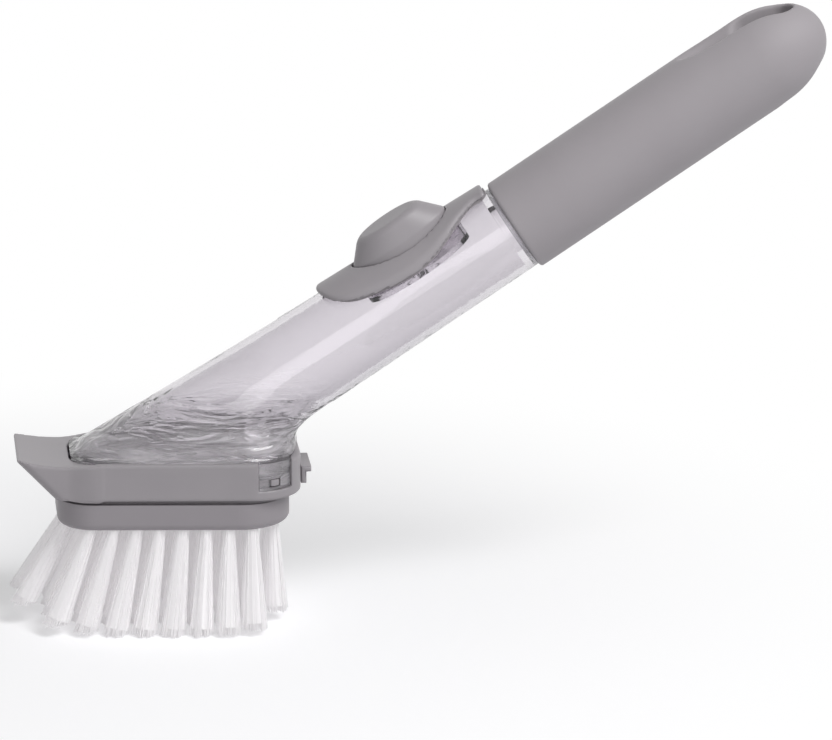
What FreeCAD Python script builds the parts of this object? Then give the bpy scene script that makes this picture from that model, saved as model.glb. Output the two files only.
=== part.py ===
import FreeCAD, Part
import Sketcher
import math
import os
import re
from types import SimpleNamespace

from FreeCAD import Placement, Rotation, Vector

# Dish wand with a clear soap reservoir, a push button, a screw-on handle and a pull-off brush head.
# Millimetres. Origin: middle of the bristle tips, on the surface that they stand on.
# +X runs towards the handle, +Z is up, and XZ is the plane of symmetry.

# Driving dimensions, kept in the sheet
SIZES = {
    # general fits
    "fit_gap": 0.1,
    "run_gap": 0.3,
    "overrun": 60.0,
    # wand axis: where tube and handle meet, and its slope
    "tilt": 33.5,
    "junction_x": 105.4,
    "junction_z": 111.45,
    # clear tube
    "tube_neck_radius": 13.1,
    "tube_root_radius": 14.4,
    "tube_belly": 13.0,
    "tube_length": 69.8,
    "tube_wall": 2.0,
    "shoulder": 2.0,
    # neck and its thread
    "neck_wall": 2.0,
    "neck_length": 15.0,
    "thread_pitch": 4.0,
    "thread_turns": 2.25,
    "thread_ridge": 0.7,
    "thread_start": 3.6,
    # seal between tube and handle
    "gasket_thickness": 1.2,
    "gasket_inset": 1.2,
    # handle
    "handle_length": 105.4,
    "handle_radius": 14.1,
    "nose_length": 20.0,
    "sleeve_wall": 2.7,
    "core_shell": 1.3,
    "thread_room": 1.1,
    "core_length": 62.0,
    "socket_depth": 24.0,
    "bulkhead": 2.0,
    "core_wall": 2.0,
    "slot_length": 19.5,
    "slot_width": 10.5,
    "slot_end_bar": 4.5,
    # push button
    "button_centre": 27.8,
    "button_travel": 3.0,
    "leaf_front": 55.8,
    "leaf_rear": 0.4,
    "leaf_half_width": 12.8,
    "seat_thickness": 0.7,
    "seat_inset": 0.8,
    "bezel_thickness": 1.3,
    "crown_top": 22.7,
    "crown_half_length": 15.5,
    "crown_half_width": 8.2,
    "crown_flat_half_length": 9.9,
    "crown_flat_half_width": 6.6,
    "crown_wall": 1.5,
    "brim_level": 16.4,
    "skirt_low": 12.2,
    "cup_wall": 1.2,
    "cup_floor": 6.2,
    "cup_hole": 1.6,
    "post_radius": 2.0,
    "spring_radius": 3.0,
    "spring_wire": 0.4,
    "spring_turns": 5.0,
    "bellows_radius": 5.0,
    "bellows_fold": 0.9,
    "bellows_wall": 0.6,
    "bellows_folds": 4.0,
    # head plan: a rounded shield, narrow in front
    "head_front": 26.5,
    "head_heel": 44.0,
    "front_half_width": 17.0,
    "heel_half_width": 23.5,
    "front_corner": 12.0,
    "heel_corner": 15.0,
    # frame with scraper
    "frame_low": 38.6,
    "frame_top": 49.5,
    "frame_wall": 2.2,
    "web_low": 42.6,
    "web_top": 44.5,
    "prow_reach": 10.8,
    "prow_edge": 0.9,
    "prow_edge_top": 50.7,
    "prow_top": 51.2,
    "prow_half_width": 15.0,
    "dish_radius": 50.0,
    "dish_centre": 23.0,
    "dish_low": 48.6,
    # clear base that stands in the frame
    "base_front": 24.3,
    "base_wall": 2.0,
    "seal_thickness": 0.8,
    "flare_heel": 43.6,
    "flare_half_width": 18.8,
    "flare_step": 0.15,
    "flare_overlap": 6.0,
    # snap lugs at the heel corners
    "lug_front": 31.0,
    "lug_rear": 40.5,
    "lug_low": 41.4,
    "catch_front": 34.4,
    "catch_length": 2.6,
    "catch_proud": 1.8,
    # outlet
    "outlet_x": 12.0,
    "outlet_radius": 3.2,
    "valve_flange_radius": 5.5,
    "valve_flange_thickness": 1.2,
    "valve_drop": 1.0,
    "valve_slit": 0.4,
    "retainer_wall": 1.4,
    "retainer_top": 1.2,
    "passage_radius": 4.6,
    "gasket_groove": 1.2,
    "gasket_section": 1.3,
    # release latch
    "latch_half_width": 5.0,
    "latch_low": 39.8,
    "latch_thickness": 2.2,
    "latch_nose": 2.0,
    "latch_nose_half_width": 6.5,
    "latch_travel": 2.5,
    "tab_half_width": 7.5,
    "tab_low": 39.2,
    "tab_height": 5.0,
    "tab_thickness": 1.6,
    "tab_lip": 1.4,
    # brush head
    "block_low": 29.5,
    "block_top": 37.4,
    "block_inset": 0.6,
    "block_heel": 41.4,
    "block_edge": 2.2,
    "block_hole": 2.4,
    "tuft_columns": 10.0,
    "tuft_row_pitch": 6.6,
    "tuft_margin": 3.4,
    "heel_margin": 5.0,
    "tuft_radius": 1.5,
    "tuft_depth": 4.7,
    "tuft_tip_radius": 3.5,
    "tuft_hole_depth": 6.2,
    "front_fan": 14.0,
    "heel_fan": 0.5,
    "tip_flat": 8.0,
    "tip_reach": 28.0,
    "front_rise": 6.0,
    "heel_rise": 2.5,
    "anchor_width": 2.4,
    "anchor_thickness": 0.5,
}

# Radii inside the handle, each from the one round it: sleeve, core, neck and the neck's bore
NESTED = {
    "gasket_radius": "=handle_radius - gasket_inset",
    "core_radius": "=handle_radius - sleeve_wall",
    "core_bore": "=core_radius - core_shell",
    "neck_radius": "=core_bore - thread_room",
    "neck_bore": "=neck_radius - neck_wall",
}
CELLS = SIZES | NESTED

# Tufts lean forwards by this power of the way to the front, and outwards by this share of their place
# across; the outer ones of these columns carry the part
FAN_POWER = 1.4
SIDE_FAN_SHARE = 0.45
SUPPORT_COLUMNS = (1, 4, 8, 9)

# Front of the clear base, shorter than the frame's; its corners lie on the sides of the frame's recess
BASE_FRONT = (
    "base_front",
    "(front_half_width + (heel_half_width - front_half_width) * (head_front - base_front)"
    " / (head_front + head_heel - 2 * frame_wall))",
)

# Leaf outline of the brim: shares of its length from the front, and of its half width
LEAF_SHARES = (
    (0.0, 0.0),
    (0.025, 0.5),
    (0.09, 0.79),
    (0.23, 0.94),
    (0.42, 1.0),
    (0.58, 0.96),
    (0.72, 0.8),
    (0.84, 0.55),
    (0.94, 0.38),
    (1.0, 0.34),
)

# Flare of the clear head, from the frame up to the tube: how far up, its width and its squareness
FLARE_RISE_SHARES = (0.0, 0.2, 0.45, 0.72, 1.0)
FLARE_WIDTH_SHARES = (0.0, 0.3, 0.65, 0.9, 1.0)
FLARE_HEEL_SHARES = (0.0, 0.01, 0.13, 0.47, 1.0)
FLARE_HEEL_RISE_SHARES = (0.0, 0.26, 0.47, 0.7, 1.0)
FLARE_TAPER_SHARES = (0.14, 0.1, 0.06, 0.02, 0.0)
FLARE_SQUARE_SHARES = (3.0, 2.6, 2.3, 2.1, 2.0)
FLARE_POINTS = 16

doc = FreeCAD.newDocument("DishWand")
sheet = doc.addObject("Spreadsheet::Sheet", "Sizes")
for row, (alias, content) in enumerate(CELLS.items(), start=1):
    sheet.set(f"A{row}", alias)
    sheet.set(f"B{row}", str(content))
    sheet.setAlias(f"B{row}", alias)
doc.recompute()
size = SimpleNamespace(**{alias: float(sheet.get(alias)) for alias in CELLS})
ALIAS = re.compile(r"\b(" + "|".join(CELLS) + r")\b")


# Helpers for bound objects

def bind(thing, **formulas):
    """Tie properties to sums of the sheet's cells; a double underscore stands for a dot."""
    for name, formula in formulas.items():
        thing.setExpression(name.replace("__", "."), ALIAS.sub(r"Sizes.\1", formula))


def on_wand(thing, back="0"):
    """Place a thing on the wand's axis: x along the axis from the junction, z towards the button."""
    thing.Placement = Placement(Vector(), Rotation(Vector(0, 1, 0), -size.tilt))
    bind(
        thing,
        Placement__Base__x=f"junction_x - ({back}) * cos(tilt)",
        Placement__Base__z=f"junction_z - ({back}) * sin(tilt)",
        Placement__Rotation__Angle="-tilt",
    )
    return thing


def wand_frame(back=0.0):
    """The same place as a value, for shapes made from curves."""
    slope = math.radians(size.tilt)
    base = Vector(size.junction_x - back * math.cos(slope), 0, size.junction_z - back * math.sin(slope))
    return Placement(base, Rotation(Vector(0, 1, 0), -size.tilt))


def origin_plane(body, role):
    return next(feature for feature in body.Origin.OriginFeatures if feature.Role == role)


def polygon_sketch(body, name, role, corners):
    """Closed outline whose corners are bound to pairs of formulas."""
    sketch = body.newObject("Sketcher::SketchObject", name)
    sketch.AttachmentSupport = (origin_plane(body, role), "")
    sketch.MapMode = "FlatFace"
    count = len(corners)
    turns = [2 * math.pi * k / count for k in range(count)]
    spots = [Vector(math.cos(turn), math.sin(turn), 0) for turn in turns]
    for k in range(count):
        sketch.addGeometry(Part.LineSegment(spots[k], spots[(k + 1) % count]), False)
    for k in range(count):
        sketch.addConstraint(Sketcher.Constraint("Coincident", k, 2, (k + 1) % count, 1))
    for k, (across, up) in enumerate(corners):
        for kind, formula, axis in (("DistanceX", across, -2), ("DistanceY", up, -1)):
            if formula == "0":
                sketch.addConstraint(Sketcher.Constraint("PointOnObject", k, 1, axis))
            else:
                index = sketch.addConstraint(Sketcher.Constraint(kind, -1, 1, k, 1, 1.0))
                sketch.setExpression(f"Constraints[{index}]", ALIAS.sub(r"Sizes.\1", formula))
    return sketch


def revolved(name, axis, corners):
    """Body turned about the sketch's own axis: H_Axis along x, V_Axis along z."""
    body = doc.addObject("PartDesign::Body", name)
    sketch = polygon_sketch(body, name + "_profile", "XZ_Plane", corners)
    turn = body.newObject("PartDesign::Revolution", name + "_turn")
    turn.Profile = sketch
    turn.ReferenceAxis = (sketch, [axis])
    turn.Angle = 360
    return body


def padded(name, role, corners, length, both_ways=False):
    """Body raised from an outline."""
    body = doc.addObject("PartDesign::Body", name)
    sketch = polygon_sketch(body, name + "_outline", role, corners)
    pad = body.newObject("PartDesign::Pad", name + "_pad")
    pad.Profile = sketch
    if both_ways:
        pad.SideType = "Symmetric"
    bind(pad, Length=length)
    return body


def round_edges(body, name, radius, wanted):
    """Round the edges of a body's tip that the test picks."""
    doc.recompute()
    base = body.Tip
    picked = [f"Edge{k}" for k, edge in enumerate(base.Shape.Edges, start=1) if wanted(edge)]
    fillet = body.newObject("PartDesign::Fillet", name)
    fillet.Base = (base, picked)
    bind(fillet, Radius=radius)
    return fillet


def upright_at(edge, in_front):
    ends = [vertex.Point for vertex in edge.Vertexes]
    upright = len(ends) == 2 and abs(ends[0].x - ends[1].x) + abs(ends[0].y - ends[1].y) < edge.Length / 100
    return upright and (ends[0].x < 0) == in_front


def head_prism(
    name, low, height, inset, front="head_front", front_half="front_half_width", heel="head_heel"
):
    """Plate of the head's rounded shield plan, drawn in from the frame's outside by an inset."""
    corners = (
        (f"({inset}) - {front}", f"({inset}) - {front_half}"),
        (f"{heel} - ({inset})", f"({inset}) - heel_half_width"),
        (f"{heel} - ({inset})", f"heel_half_width - ({inset})"),
        (f"({inset}) - {front}", f"{front_half} - ({inset})"),
    )
    body = padded(name, "XY_Plane", corners, height)
    round_edges(body, f"{name}_front", f"front_corner - ({inset})", lambda edge: upright_at(edge, True))
    round_edges(body, f"{name}_heel", f"heel_corner - ({inset})", lambda edge: upright_at(edge, False))
    bind(body, Placement__Base__z=low)
    return body


def cylinder(name, radius, height, x="0", y="0", z="0"):
    thing = doc.addObject("Part::Cylinder", name)
    bind(thing, Radius=radius, Height=height)
    bind(thing, Placement__Base__x=x, Placement__Base__y=y, Placement__Base__z=z)
    return thing


def block(name, low_corner, length, width, height):
    thing = doc.addObject("Part::Box", name)
    x, y, z = low_corner
    bind(thing, Length=length, Width=width, Height=height)
    bind(thing, Placement__Base__x=x, Placement__Base__y=y, Placement__Base__z=z)
    return thing


def cut(name, base, *tools):
    """Cut each tool in turn, the last result taking the name."""
    for k, tool in enumerate(tools, start=1):
        thing = doc.addObject("Part::Cut", name if k == len(tools) else f"{name}_cut_{k}")
        thing.Base = base
        thing.Tool = tool
        base = thing
    return base


def fused(name, *things):
    thing = doc.addObject("Part::MultiFuse", name)
    thing.Shapes = list(things)
    return thing


def common(name, base, tool):
    thing = doc.addObject("Part::Common", name)
    thing.Base = base
    thing.Tool = tool
    return thing


def shaped(name, shape, place=None):
    """Object for a form that is made from curves."""
    thing = doc.addObject("Part::Feature", name)
    thing.Shape = shape
    if place is not None:
        thing.Placement = place
    return thing


# Helpers for curves

def arc_leaving(start, heading, end):
    """Arc from start to end that leaves start along the heading."""
    chord = end - start
    along = chord * (1 / chord.Length)
    bend = math.acos(max(-1.0, min(1.0, heading.dot(along))))
    side = heading - along * heading.dot(along)
    side.normalize()
    middle = (start + end) * 0.5 + side * (chord.Length / 2 * math.tan(bend / 2))
    return Part.Arc(start, middle, end).toShape()


def biarc(start, heading, end, leaving):
    """Two arcs that join two points smoothly."""
    gap = end - start
    both = heading + leaving
    spread = 2 * (1 - heading.dot(leaving))
    lean = gap.dot(both)
    reach = (math.sqrt(lean * lean + spread * gap.dot(gap)) - lean) / spread
    meet = (start + end + (heading - leaving) * reach) * 0.5
    return [arc_leaving(start, heading, meet), arc_leaving(end, leaving * -1, meet)]


def helix_point(radius, pitch, angle):
    return Vector(radius * math.cos(angle), radius * math.sin(angle), pitch * angle / (2 * math.pi))


def helix_heading(radius, pitch, angle):
    heading = Vector(-radius * math.sin(angle), radius * math.cos(angle), pitch / (2 * math.pi))
    heading.normalize()
    return heading


def coil(radius, pitch, turns, wire):
    """One unbroken round tube wound about z, as a pipe on quarter-turn biarcs."""
    edges = []
    steps = round(turns * 4)
    for k in range(steps):
        first = k * math.pi / 2
        last = (k + 1) * math.pi / 2
        edges += biarc(
            helix_point(radius, pitch, first),
            helix_heading(radius, pitch, first),
            helix_point(radius, pitch, last),
            helix_heading(radius, pitch, last),
        )
    path = Part.Wire(Part.__sortEdges__(edges))
    section = Part.Wire(
        Part.Circle(helix_point(radius, pitch, 0), helix_heading(radius, pitch, 0), wire).toShape()
    )
    return path.makePipeShell([section], True, False)


def least_self_gap(radius, pitch, turns, wire):
    """Least clear distance between turns, measured on points of the winding."""
    count = round(turns * 36)
    spots = [helix_point(radius, pitch, 2 * math.pi * turns * k / count) for k in range(count + 1)]
    apart = 18
    pairs = ((a, b) for a in range(count + 1) for b in range(a + apart, count + 1))
    return min(spots[a].distanceToPoint(spots[b]) for a, b in pairs) - 2 * wire


def closed_spline(points):
    curve = Part.BSplineCurve()
    curve.interpolate(points, PeriodicFlag=True)
    return Part.Wire(curve.toShape())


def oval(centre_x, half_length, half_width, level):
    centre = Vector(centre_x, 0, level)
    along = Vector(centre_x + half_length, 0, level)
    across = Vector(centre_x, half_width, level)
    return Part.Wire(Part.Ellipse(along, across, centre).toShape())


def oval_prism(half_length, half_width, low, high):
    """Upright oval plug at the button, in the wand's own frame."""
    wire = oval(-size.button_centre, half_length, half_width, low)
    return Part.Face(wire).extrude(Vector(0, 0, high - low))


# Handle, screwed onto the neck

def tube_radius(back):
    """Outside radius of the clear tube, this far back from the junction."""
    share = back / size.tube_length
    return size.tube_neck_radius + (size.tube_root_radius - size.tube_neck_radius) * share


def tube_body(offset, start=0.0, end=None):
    """Tube solid along the wand's axis; its underside stays parallel to the axis."""
    rings = []
    for back in (start, size.tube_length if end is None else end):
        radius = tube_radius(back)
        centre = Vector(-back, 0, radius - size.tube_belly)
        rings.append(Part.Wire(Part.Circle(centre, Vector(1, 0, 0), radius + offset).toShape()))
    return Part.makeLoft(rings, True, True)


def wound_along_axis(radius, start):
    """Thread ridge about the wand's axis."""
    ridge = coil(radius, size.thread_pitch, size.thread_turns, size.thread_ridge)
    ridge.Placement = Placement(Vector(start, 0, 0), Rotation(Vector(0, 1, 0), 90))
    return ridge


def make_neck_gasket():
    ring = (
        ("0", "neck_radius + thread_ridge + 2 * run_gap"),
        ("gasket_thickness", "neck_radius + thread_ridge + 2 * run_gap"),
        ("gasket_thickness", "gasket_radius"),
        ("0", "gasket_radius"),
    )
    return on_wand(revolved("neck_gasket", "H_Axis", ring))


def make_handle_core():
    mouth = "gasket_thickness"
    socket_end = f"{mouth} + socket_depth"
    hollow = f"{socket_end} + bulkhead"
    end = f"{mouth} + core_length"
    profile = (
        (mouth, "core_bore"),
        (socket_end, "core_bore"),
        (socket_end, "0"),
        (hollow, "0"),
        (hollow, "core_radius - core_wall"),
        (end, "core_radius - core_wall"),
        (end, "core_radius"),
        (mouth, "core_radius"),
    )
    turned = revolved("core_turned", "H_Axis", profile)
    ridge_start = size.thread_start + size.thread_pitch / 2
    ridge = shaped("core_ridge", wound_along_axis(size.core_bore, ridge_start))
    return on_wand(fused("handle_core", turned, ridge))


def make_grip_sleeve():
    mouth = "gasket_thickness"
    barrel_end = f"{mouth} + handle_length - nose_length"
    barrel = (
        (mouth, "core_radius + fit_gap"),
        (f"{mouth} + core_length", "core_radius + fit_gap"),
        (f"{mouth} + core_length", "0"),
        (barrel_end, "0"),
        (barrel_end, "handle_radius"),
        (mouth, "handle_radius"),
    )
    turned = revolved("grip_barrel", "H_Axis", barrel)
    nose = doc.addObject("Part::Ellipsoid", "grip_nose")
    bind(nose, Radius1="nose_length", Radius2="handle_radius", Radius3="handle_radius", Angle1="0")
    nose.Placement = Placement(Vector(), Rotation(Vector(0, 1, 0), 90))
    bind(nose, Placement__Base__x=barrel_end)
    whole = fused("grip_whole", turned, nose)
    slot_end = f"{mouth} + handle_length - slot_end_bar - slot_width / 2"
    slot_start = f"{slot_end} - slot_length + slot_width"
    ends = [
        cylinder(f"slot_{side}", "slot_width / 2", "overrun", x=spot, z="-overrun / 2")
        for side, spot in (("front", slot_start), ("rear", slot_end))
    ]
    middle = block(
        "slot_middle",
        (slot_start, "-slot_width / 2", "-overrun / 2"),
        "slot_length - slot_width",
        "slot_width",
        "overrun",
    )
    slot = fused("slot", *ends, middle)
    return on_wand(cut("grip_sleeve", whole, slot))


# Push button on top of the tube

def leaf_prism(inset):
    """Leaf outline raised through the tube's upper side."""
    length = size.leaf_front - size.leaf_rear - 2 * inset
    width = size.leaf_half_width - inset
    front = inset - size.leaf_front
    one_side = [Vector(front + length * along, width * across, 0) for along, across in LEAF_SHARES]
    other_side = [Vector(spot.x, -spot.y, 0) for spot in reversed(one_side[1:])]
    return Part.Face(closed_spline(one_side + other_side)).extrude(Vector(0, 0, size.overrun))


def saddle(low, high, inset):
    """Leaf-shaped layer that wraps the tube between two heights above it, open at the button."""
    layer = tube_body(high).cut(tube_body(low))
    hole = oval_prism(
        size.crown_half_length + size.run_gap, size.crown_half_width + size.run_gap, 0, size.overrun
    )
    return layer.common(leaf_prism(inset)).cut(hole)


def make_button_seat():
    seat = saddle(size.fit_gap, size.fit_gap + size.seat_thickness, size.seat_inset)
    return shaped("button_seat", seat, wand_frame())


def make_button_bezel():
    low = 2 * size.fit_gap + size.seat_thickness
    return shaped("button_bezel", saddle(low, low + size.bezel_thickness, 0), wand_frame())


def crown(inset, low, top):
    """Hat form: straight skirt up to the brim, then drawn in to the flat top."""
    middle = -size.button_centre
    skirt = oval_prism(size.crown_half_length - inset, size.crown_half_width - inset, low, size.brim_level)
    hat = Part.makeLoft(
        [
            oval(middle, size.crown_half_length - inset, size.crown_half_width - inset, size.brim_level),
            oval(middle, size.crown_flat_half_length - inset, size.crown_flat_half_width - inset, top),
        ],
        True,
        True,
    )
    return skirt.fuse(hat).removeSplitter()


def make_button_cap():
    """Hollow crown with a middle post that stops clear of the cup's floor when pressed."""
    hollow = crown(size.crown_wall, size.skirt_low, size.crown_top - size.crown_wall)
    post_low = size.cup_floor + size.button_travel + size.run_gap
    post_length = size.crown_top - size.crown_wall / 2 - post_low
    post = Part.makeCylinder(size.post_radius, post_length, Vector(-size.button_centre, 0, post_low))
    cap = crown(0, size.skirt_low, size.crown_top).cut(hollow).fuse(post)
    return shaped("button_cap", cap, wand_frame())


def make_pump_cup():
    gap = size.run_gap
    inside = (size.crown_half_length + gap, size.crown_half_width + gap)
    outside = (inside[0] + size.cup_wall, inside[1] + size.cup_wall)
    floor_low = size.cup_floor - size.cup_wall
    cup = oval_prism(*outside, floor_low, size.overrun).common(tube_body(0))
    cup = cup.cut(oval_prism(*inside, size.cup_floor, size.overrun))
    air_hole = Part.makeCylinder(size.cup_hole, size.overrun, Vector(-size.button_centre, 0, 0))
    return shaped("pump_cup", cup.cut(air_hole), wand_frame())


def make_pump_bellows():
    """Folded sleeve round the spring, from the cup's floor to the underside of the crown."""
    low = "cup_floor"
    rise = "(crown_top - crown_wall - cup_floor - fit_gap) / (2 * bellows_folds)"
    folds = round(2 * size.bellows_folds)
    outer = [(f"bellows_radius - bellows_fold * {k % 2}", f"{low} + {k} * {rise}") for k in range(folds + 1)]
    inner = [(f"{radius} - bellows_wall", height) for radius, height in reversed(outer)]
    return on_wand(revolved("pump_bellows", "V_Axis", outer + inner), "button_centre")


def make_return_spring():
    low = size.cup_floor + size.spring_wire + size.fit_gap
    high = size.crown_top - size.crown_wall - size.spring_wire - size.fit_gap
    pitch = (high - low) / size.spring_turns
    spring = coil(size.spring_radius, pitch, size.spring_turns, size.spring_wire)
    gap = least_self_gap(size.spring_radius, pitch, size.spring_turns, size.spring_wire)
    print(f"return_spring: least gap between turns {gap:.2f} mm")
    foot = Placement(Vector(0, 0, low), Rotation())
    return shaped("return_spring", spring, wand_frame(size.button_centre).multiply(foot))


# Clear reservoir

def tube_edges(back):
    """Top and underside of the tube in the plane of symmetry, this far back from the junction."""
    place = wand_frame()
    top = Vector(-back, 0, 2 * tube_radius(back) - size.tube_belly)
    return place.multVec(top), place.multVec(Vector(-back, 0, -size.tube_belly))


def flare_section(fore, aft, half_width, taper, square, inset):
    """Closed curve between two points of the plane of symmetry, from boxy to round."""
    middle = (fore + aft) * 0.5
    reach = (aft - fore) * 0.5
    reach = reach * ((reach.Length - inset) / reach.Length)
    spots = []
    for step in range(FLARE_POINTS):
        angle = 2 * math.pi * step / FLARE_POINTS
        far = math.copysign(abs(math.cos(angle)) ** (2 / square), math.cos(angle))
        wide = math.copysign(abs(math.sin(angle)) ** (2 / square), math.sin(angle))
        spread = (half_width - inset) * (1 + taper * far)
        spots.append(middle + reach * far + Vector(0, spread * wide, 0))
    return closed_spline(spots)


def flare_body(inset):
    """Clear head from the frame's rim up into the end of the tube."""
    inset = inset + size.flare_step
    top, belly = tube_edges(size.tube_length)
    front = Vector(size.frame_wall + size.run_gap - size.base_front, 0, size.frame_top)
    heel = Vector(size.flare_heel, 0, size.frame_top)
    wires = []
    for k, rise in enumerate(FLARE_RISE_SHARES):
        fore = front + (top - front) * rise
        aft = Vector(
            heel.x + (belly.x - heel.x) * FLARE_HEEL_SHARES[k],
            0,
            heel.z + (belly.z - heel.z) * FLARE_HEEL_RISE_SHARES[k],
        )
        narrowing = (size.tube_root_radius - size.flare_half_width) * FLARE_WIDTH_SHARES[k]
        half_width = size.flare_half_width + narrowing
        form = (FLARE_TAPER_SHARES[k], FLARE_SQUARE_SHARES[k])
        wires.append(flare_section(fore, aft, half_width, *form, inset))
    inner_end = size.tube_length - size.flare_overlap
    round_form = (FLARE_TAPER_SHARES[-1], FLARE_SQUARE_SHARES[-1])
    wires.append(flare_section(*tube_edges(inner_end), tube_radius(inner_end), *round_form, inset))
    return Part.makeLoft(wires, True, False)


def make_reservoir_shell(lugs):
    """Tube, neck, flare and base as one moulding, hollow right through."""
    base_low = "web_top + seal_thickness"
    base_height = "frame_top - web_top - seal_thickness"
    outset = "frame_wall + run_gap"
    base = head_prism("base_outside", base_low, base_height, outset, *BASE_FRONT)
    hollow = head_prism("base_inside", base_low, base_height, outset + " + base_wall", *BASE_FRONT)
    doc.recompute()
    place = wand_frame()
    along = Vector(1, 0, 0)
    wall = size.tube_wall
    neck_foot = along * -size.shoulder
    neck = Part.makeCylinder(size.neck_radius, size.neck_length + size.shoulder, neck_foot, along)
    upper = tube_body(0).fuse([neck, wound_along_axis(size.neck_radius, size.thread_start)])
    upper.Placement = place
    outside = upper.fuse([flare_body(0), base.Shape, lugs.Shape])
    bore = Part.makeCylinder(size.neck_bore, size.overrun, along * -size.overrun / 2, along)
    cup = (size.crown_half_length, size.crown_half_width)
    port = oval_prism(*(half + size.run_gap + size.cup_wall + size.fit_gap for half in cup), 0, size.overrun)
    upper_hollow = tube_body(-wall, start=size.shoulder).fuse([bore, port])
    upper_hollow.Placement = place
    shell = outside.cut(upper_hollow).cut(flare_body(wall)).cut(hollow.Shape)
    return shaped("reservoir_shell", shell)


def lug_boxes(name, front, length, low, height):
    """A pair of blocks at the two heel corners of the head."""
    sides = []
    for side, near in (("left", "0"), ("right", "-heel_half_width")):
        sides.append(block(f"{name}_{side}", (front, near, low), length, "heel_half_width", height))
    return fused(name, *sides)


def make_snap_lugs():
    """Clear lugs in the frame's notches, each with a window for the catch."""
    gap = "fit_gap"
    boxes = lug_boxes(
        "lug_blocks",
        f"lug_front + {gap}",
        f"lug_rear - lug_front - 2 * {gap}",
        f"lug_low + {gap}",
        f"frame_top - lug_low - {gap}",
    )
    outside = head_prism("lug_outside", "lug_low", "frame_top - lug_low", gap)
    below = head_prism("lug_below", "lug_low", "web_top + seal_thickness - lug_low", f"frame_wall - {gap}")
    above = head_prism("lug_above", "lug_low", "frame_top - lug_low", "frame_wall + run_gap + base_wall / 2")
    windows = lug_boxes(
        "lug_windows",
        "catch_front - run_gap",
        "catch_length + 2 * run_gap",
        "web_low - run_gap",
        "web_top - web_low + 2 * run_gap",
    )
    lugs = cut("snap_lugs", common("lug_bands", boxes, outside), below, above, windows)
    doc.recompute()
    return lugs


def make_head_seal():
    outset = "frame_wall + run_gap"
    ring = head_prism("seal_outside", "web_top", "seal_thickness", outset, *BASE_FRONT)
    hole = head_prism("seal_inside", "web_top", "seal_thickness", outset + " + base_wall", *BASE_FRONT)
    return cut("head_seal", ring, hole)


# Frame with scraper

def make_prow():
    """Boat-like front: a side profile kept within a plan that narrows to the scraper edge."""
    tip = "-head_front - prow_reach"
    profile = (
        ("-head_front", "frame_low"),
        ("front_corner - head_front", "frame_low"),
        ("front_corner - head_front", "prow_top"),
        (tip, "prow_top"),
        (tip, "prow_edge_top - prow_edge"),
    )
    plan = (
        (tip, "-prow_half_width"),
        ("front_corner - head_front", "-front_half_width"),
        ("front_corner - head_front", "front_half_width"),
        (tip, "prow_half_width"),
    )
    side = padded("prow_side", "XZ_Plane", profile, "2 * heel_half_width", both_ways=True)
    above = padded("prow_plan", "XY_Plane", plan, "prow_top")
    return common("prow", side, above)


def make_scraper_frame():
    rim = head_prism("frame_rim", "frame_low", "frame_top - frame_low", "0")
    upper = head_prism("frame_upper_recess", "web_top", "frame_top - web_top", "frame_wall", *BASE_FRONT)
    lower = head_prism("frame_lower_recess", "frame_low", "web_low - frame_low", "frame_wall")
    dish = cylinder(
        "frame_dish",
        "dish_radius",
        "2 * heel_half_width",
        x="-dish_centre",
        y="heel_half_width",
        z="dish_low + dish_radius",
    )
    dish.Placement.Rotation = Rotation(Vector(1, 0, 0), 90)
    recess = head_prism("frame_notch_core", "lug_low", "frame_top - lug_low", "frame_wall")
    notches = cut(
        "frame_notches",
        lug_boxes("notch_blocks", "lug_front", "lug_rear - lug_front", "lug_low", "frame_top - lug_low"),
        recess,
    )
    slot = block(
        "latch_slot",
        ("head_heel - frame_wall - run_gap", "-latch_half_width - run_gap", "latch_low - run_gap"),
        "frame_wall + 2 * run_gap",
        "2 * (latch_half_width + run_gap)",
        "latch_thickness + 2 * run_gap",
    )
    outlet = cylinder("web_outlet", "outlet_radius + fit_gap", "overrun", x="outlet_x", z="frame_low")
    catch_band = head_prism("catch_band", "web_low", "web_top - web_low", "frame_wall - catch_proud")
    catch_boxes = lug_boxes("catch_blocks", "catch_front", "catch_length", "web_low", "web_top - web_low")
    catches = common("frame_catches", catch_boxes, catch_band)
    hollow = cut("frame_hollow", fused("frame_solid", rim, make_prow()), upper, lower, dish, notches, slot)
    return cut("scraper_frame", fused("frame_with_catches", hollow, catches), outlet)


def make_outlet_valve():
    """Silicone cup with a slit floor, hung by its flange."""
    low = "web_low - valve_drop"
    skin = "valve_flange_thickness"
    top = f"web_top + {skin}"
    profile = (
        ("0", low),
        ("outlet_radius", low),
        ("outlet_radius", "web_top"),
        ("valve_flange_radius", "web_top"),
        ("valve_flange_radius", top),
        (f"outlet_radius - {skin}", top),
        (f"outlet_radius - {skin}", f"{low} + {skin}"),
        ("0", f"{low} + {skin}"),
    )
    cup = revolved("valve_cup", "V_Axis", profile)
    bind(cup, Placement__Base__x="outlet_x")
    half = f"outlet_radius - {skin}"
    corner = (f"outlet_x - ({half})", "-valve_slit / 2", low)
    slit = block("valve_slit_cut", corner, f"2 * ({half})", "valve_slit", skin)
    return cut("outlet_valve", cup, slit)


def make_valve_retainer():
    top = "web_top + valve_flange_thickness"
    inside = "valve_flange_radius + fit_gap"
    profile = (
        (inside, "web_top"),
        (f"{inside} + retainer_wall", "web_top"),
        (f"{inside} + retainer_wall", f"{top} + retainer_top"),
        ("outlet_radius", f"{top} + retainer_top"),
        ("outlet_radius", top),
        (inside, top),
    )
    ring = revolved("valve_retainer", "V_Axis", profile)
    bind(ring, Placement__Base__x="outlet_x")
    return ring


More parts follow.
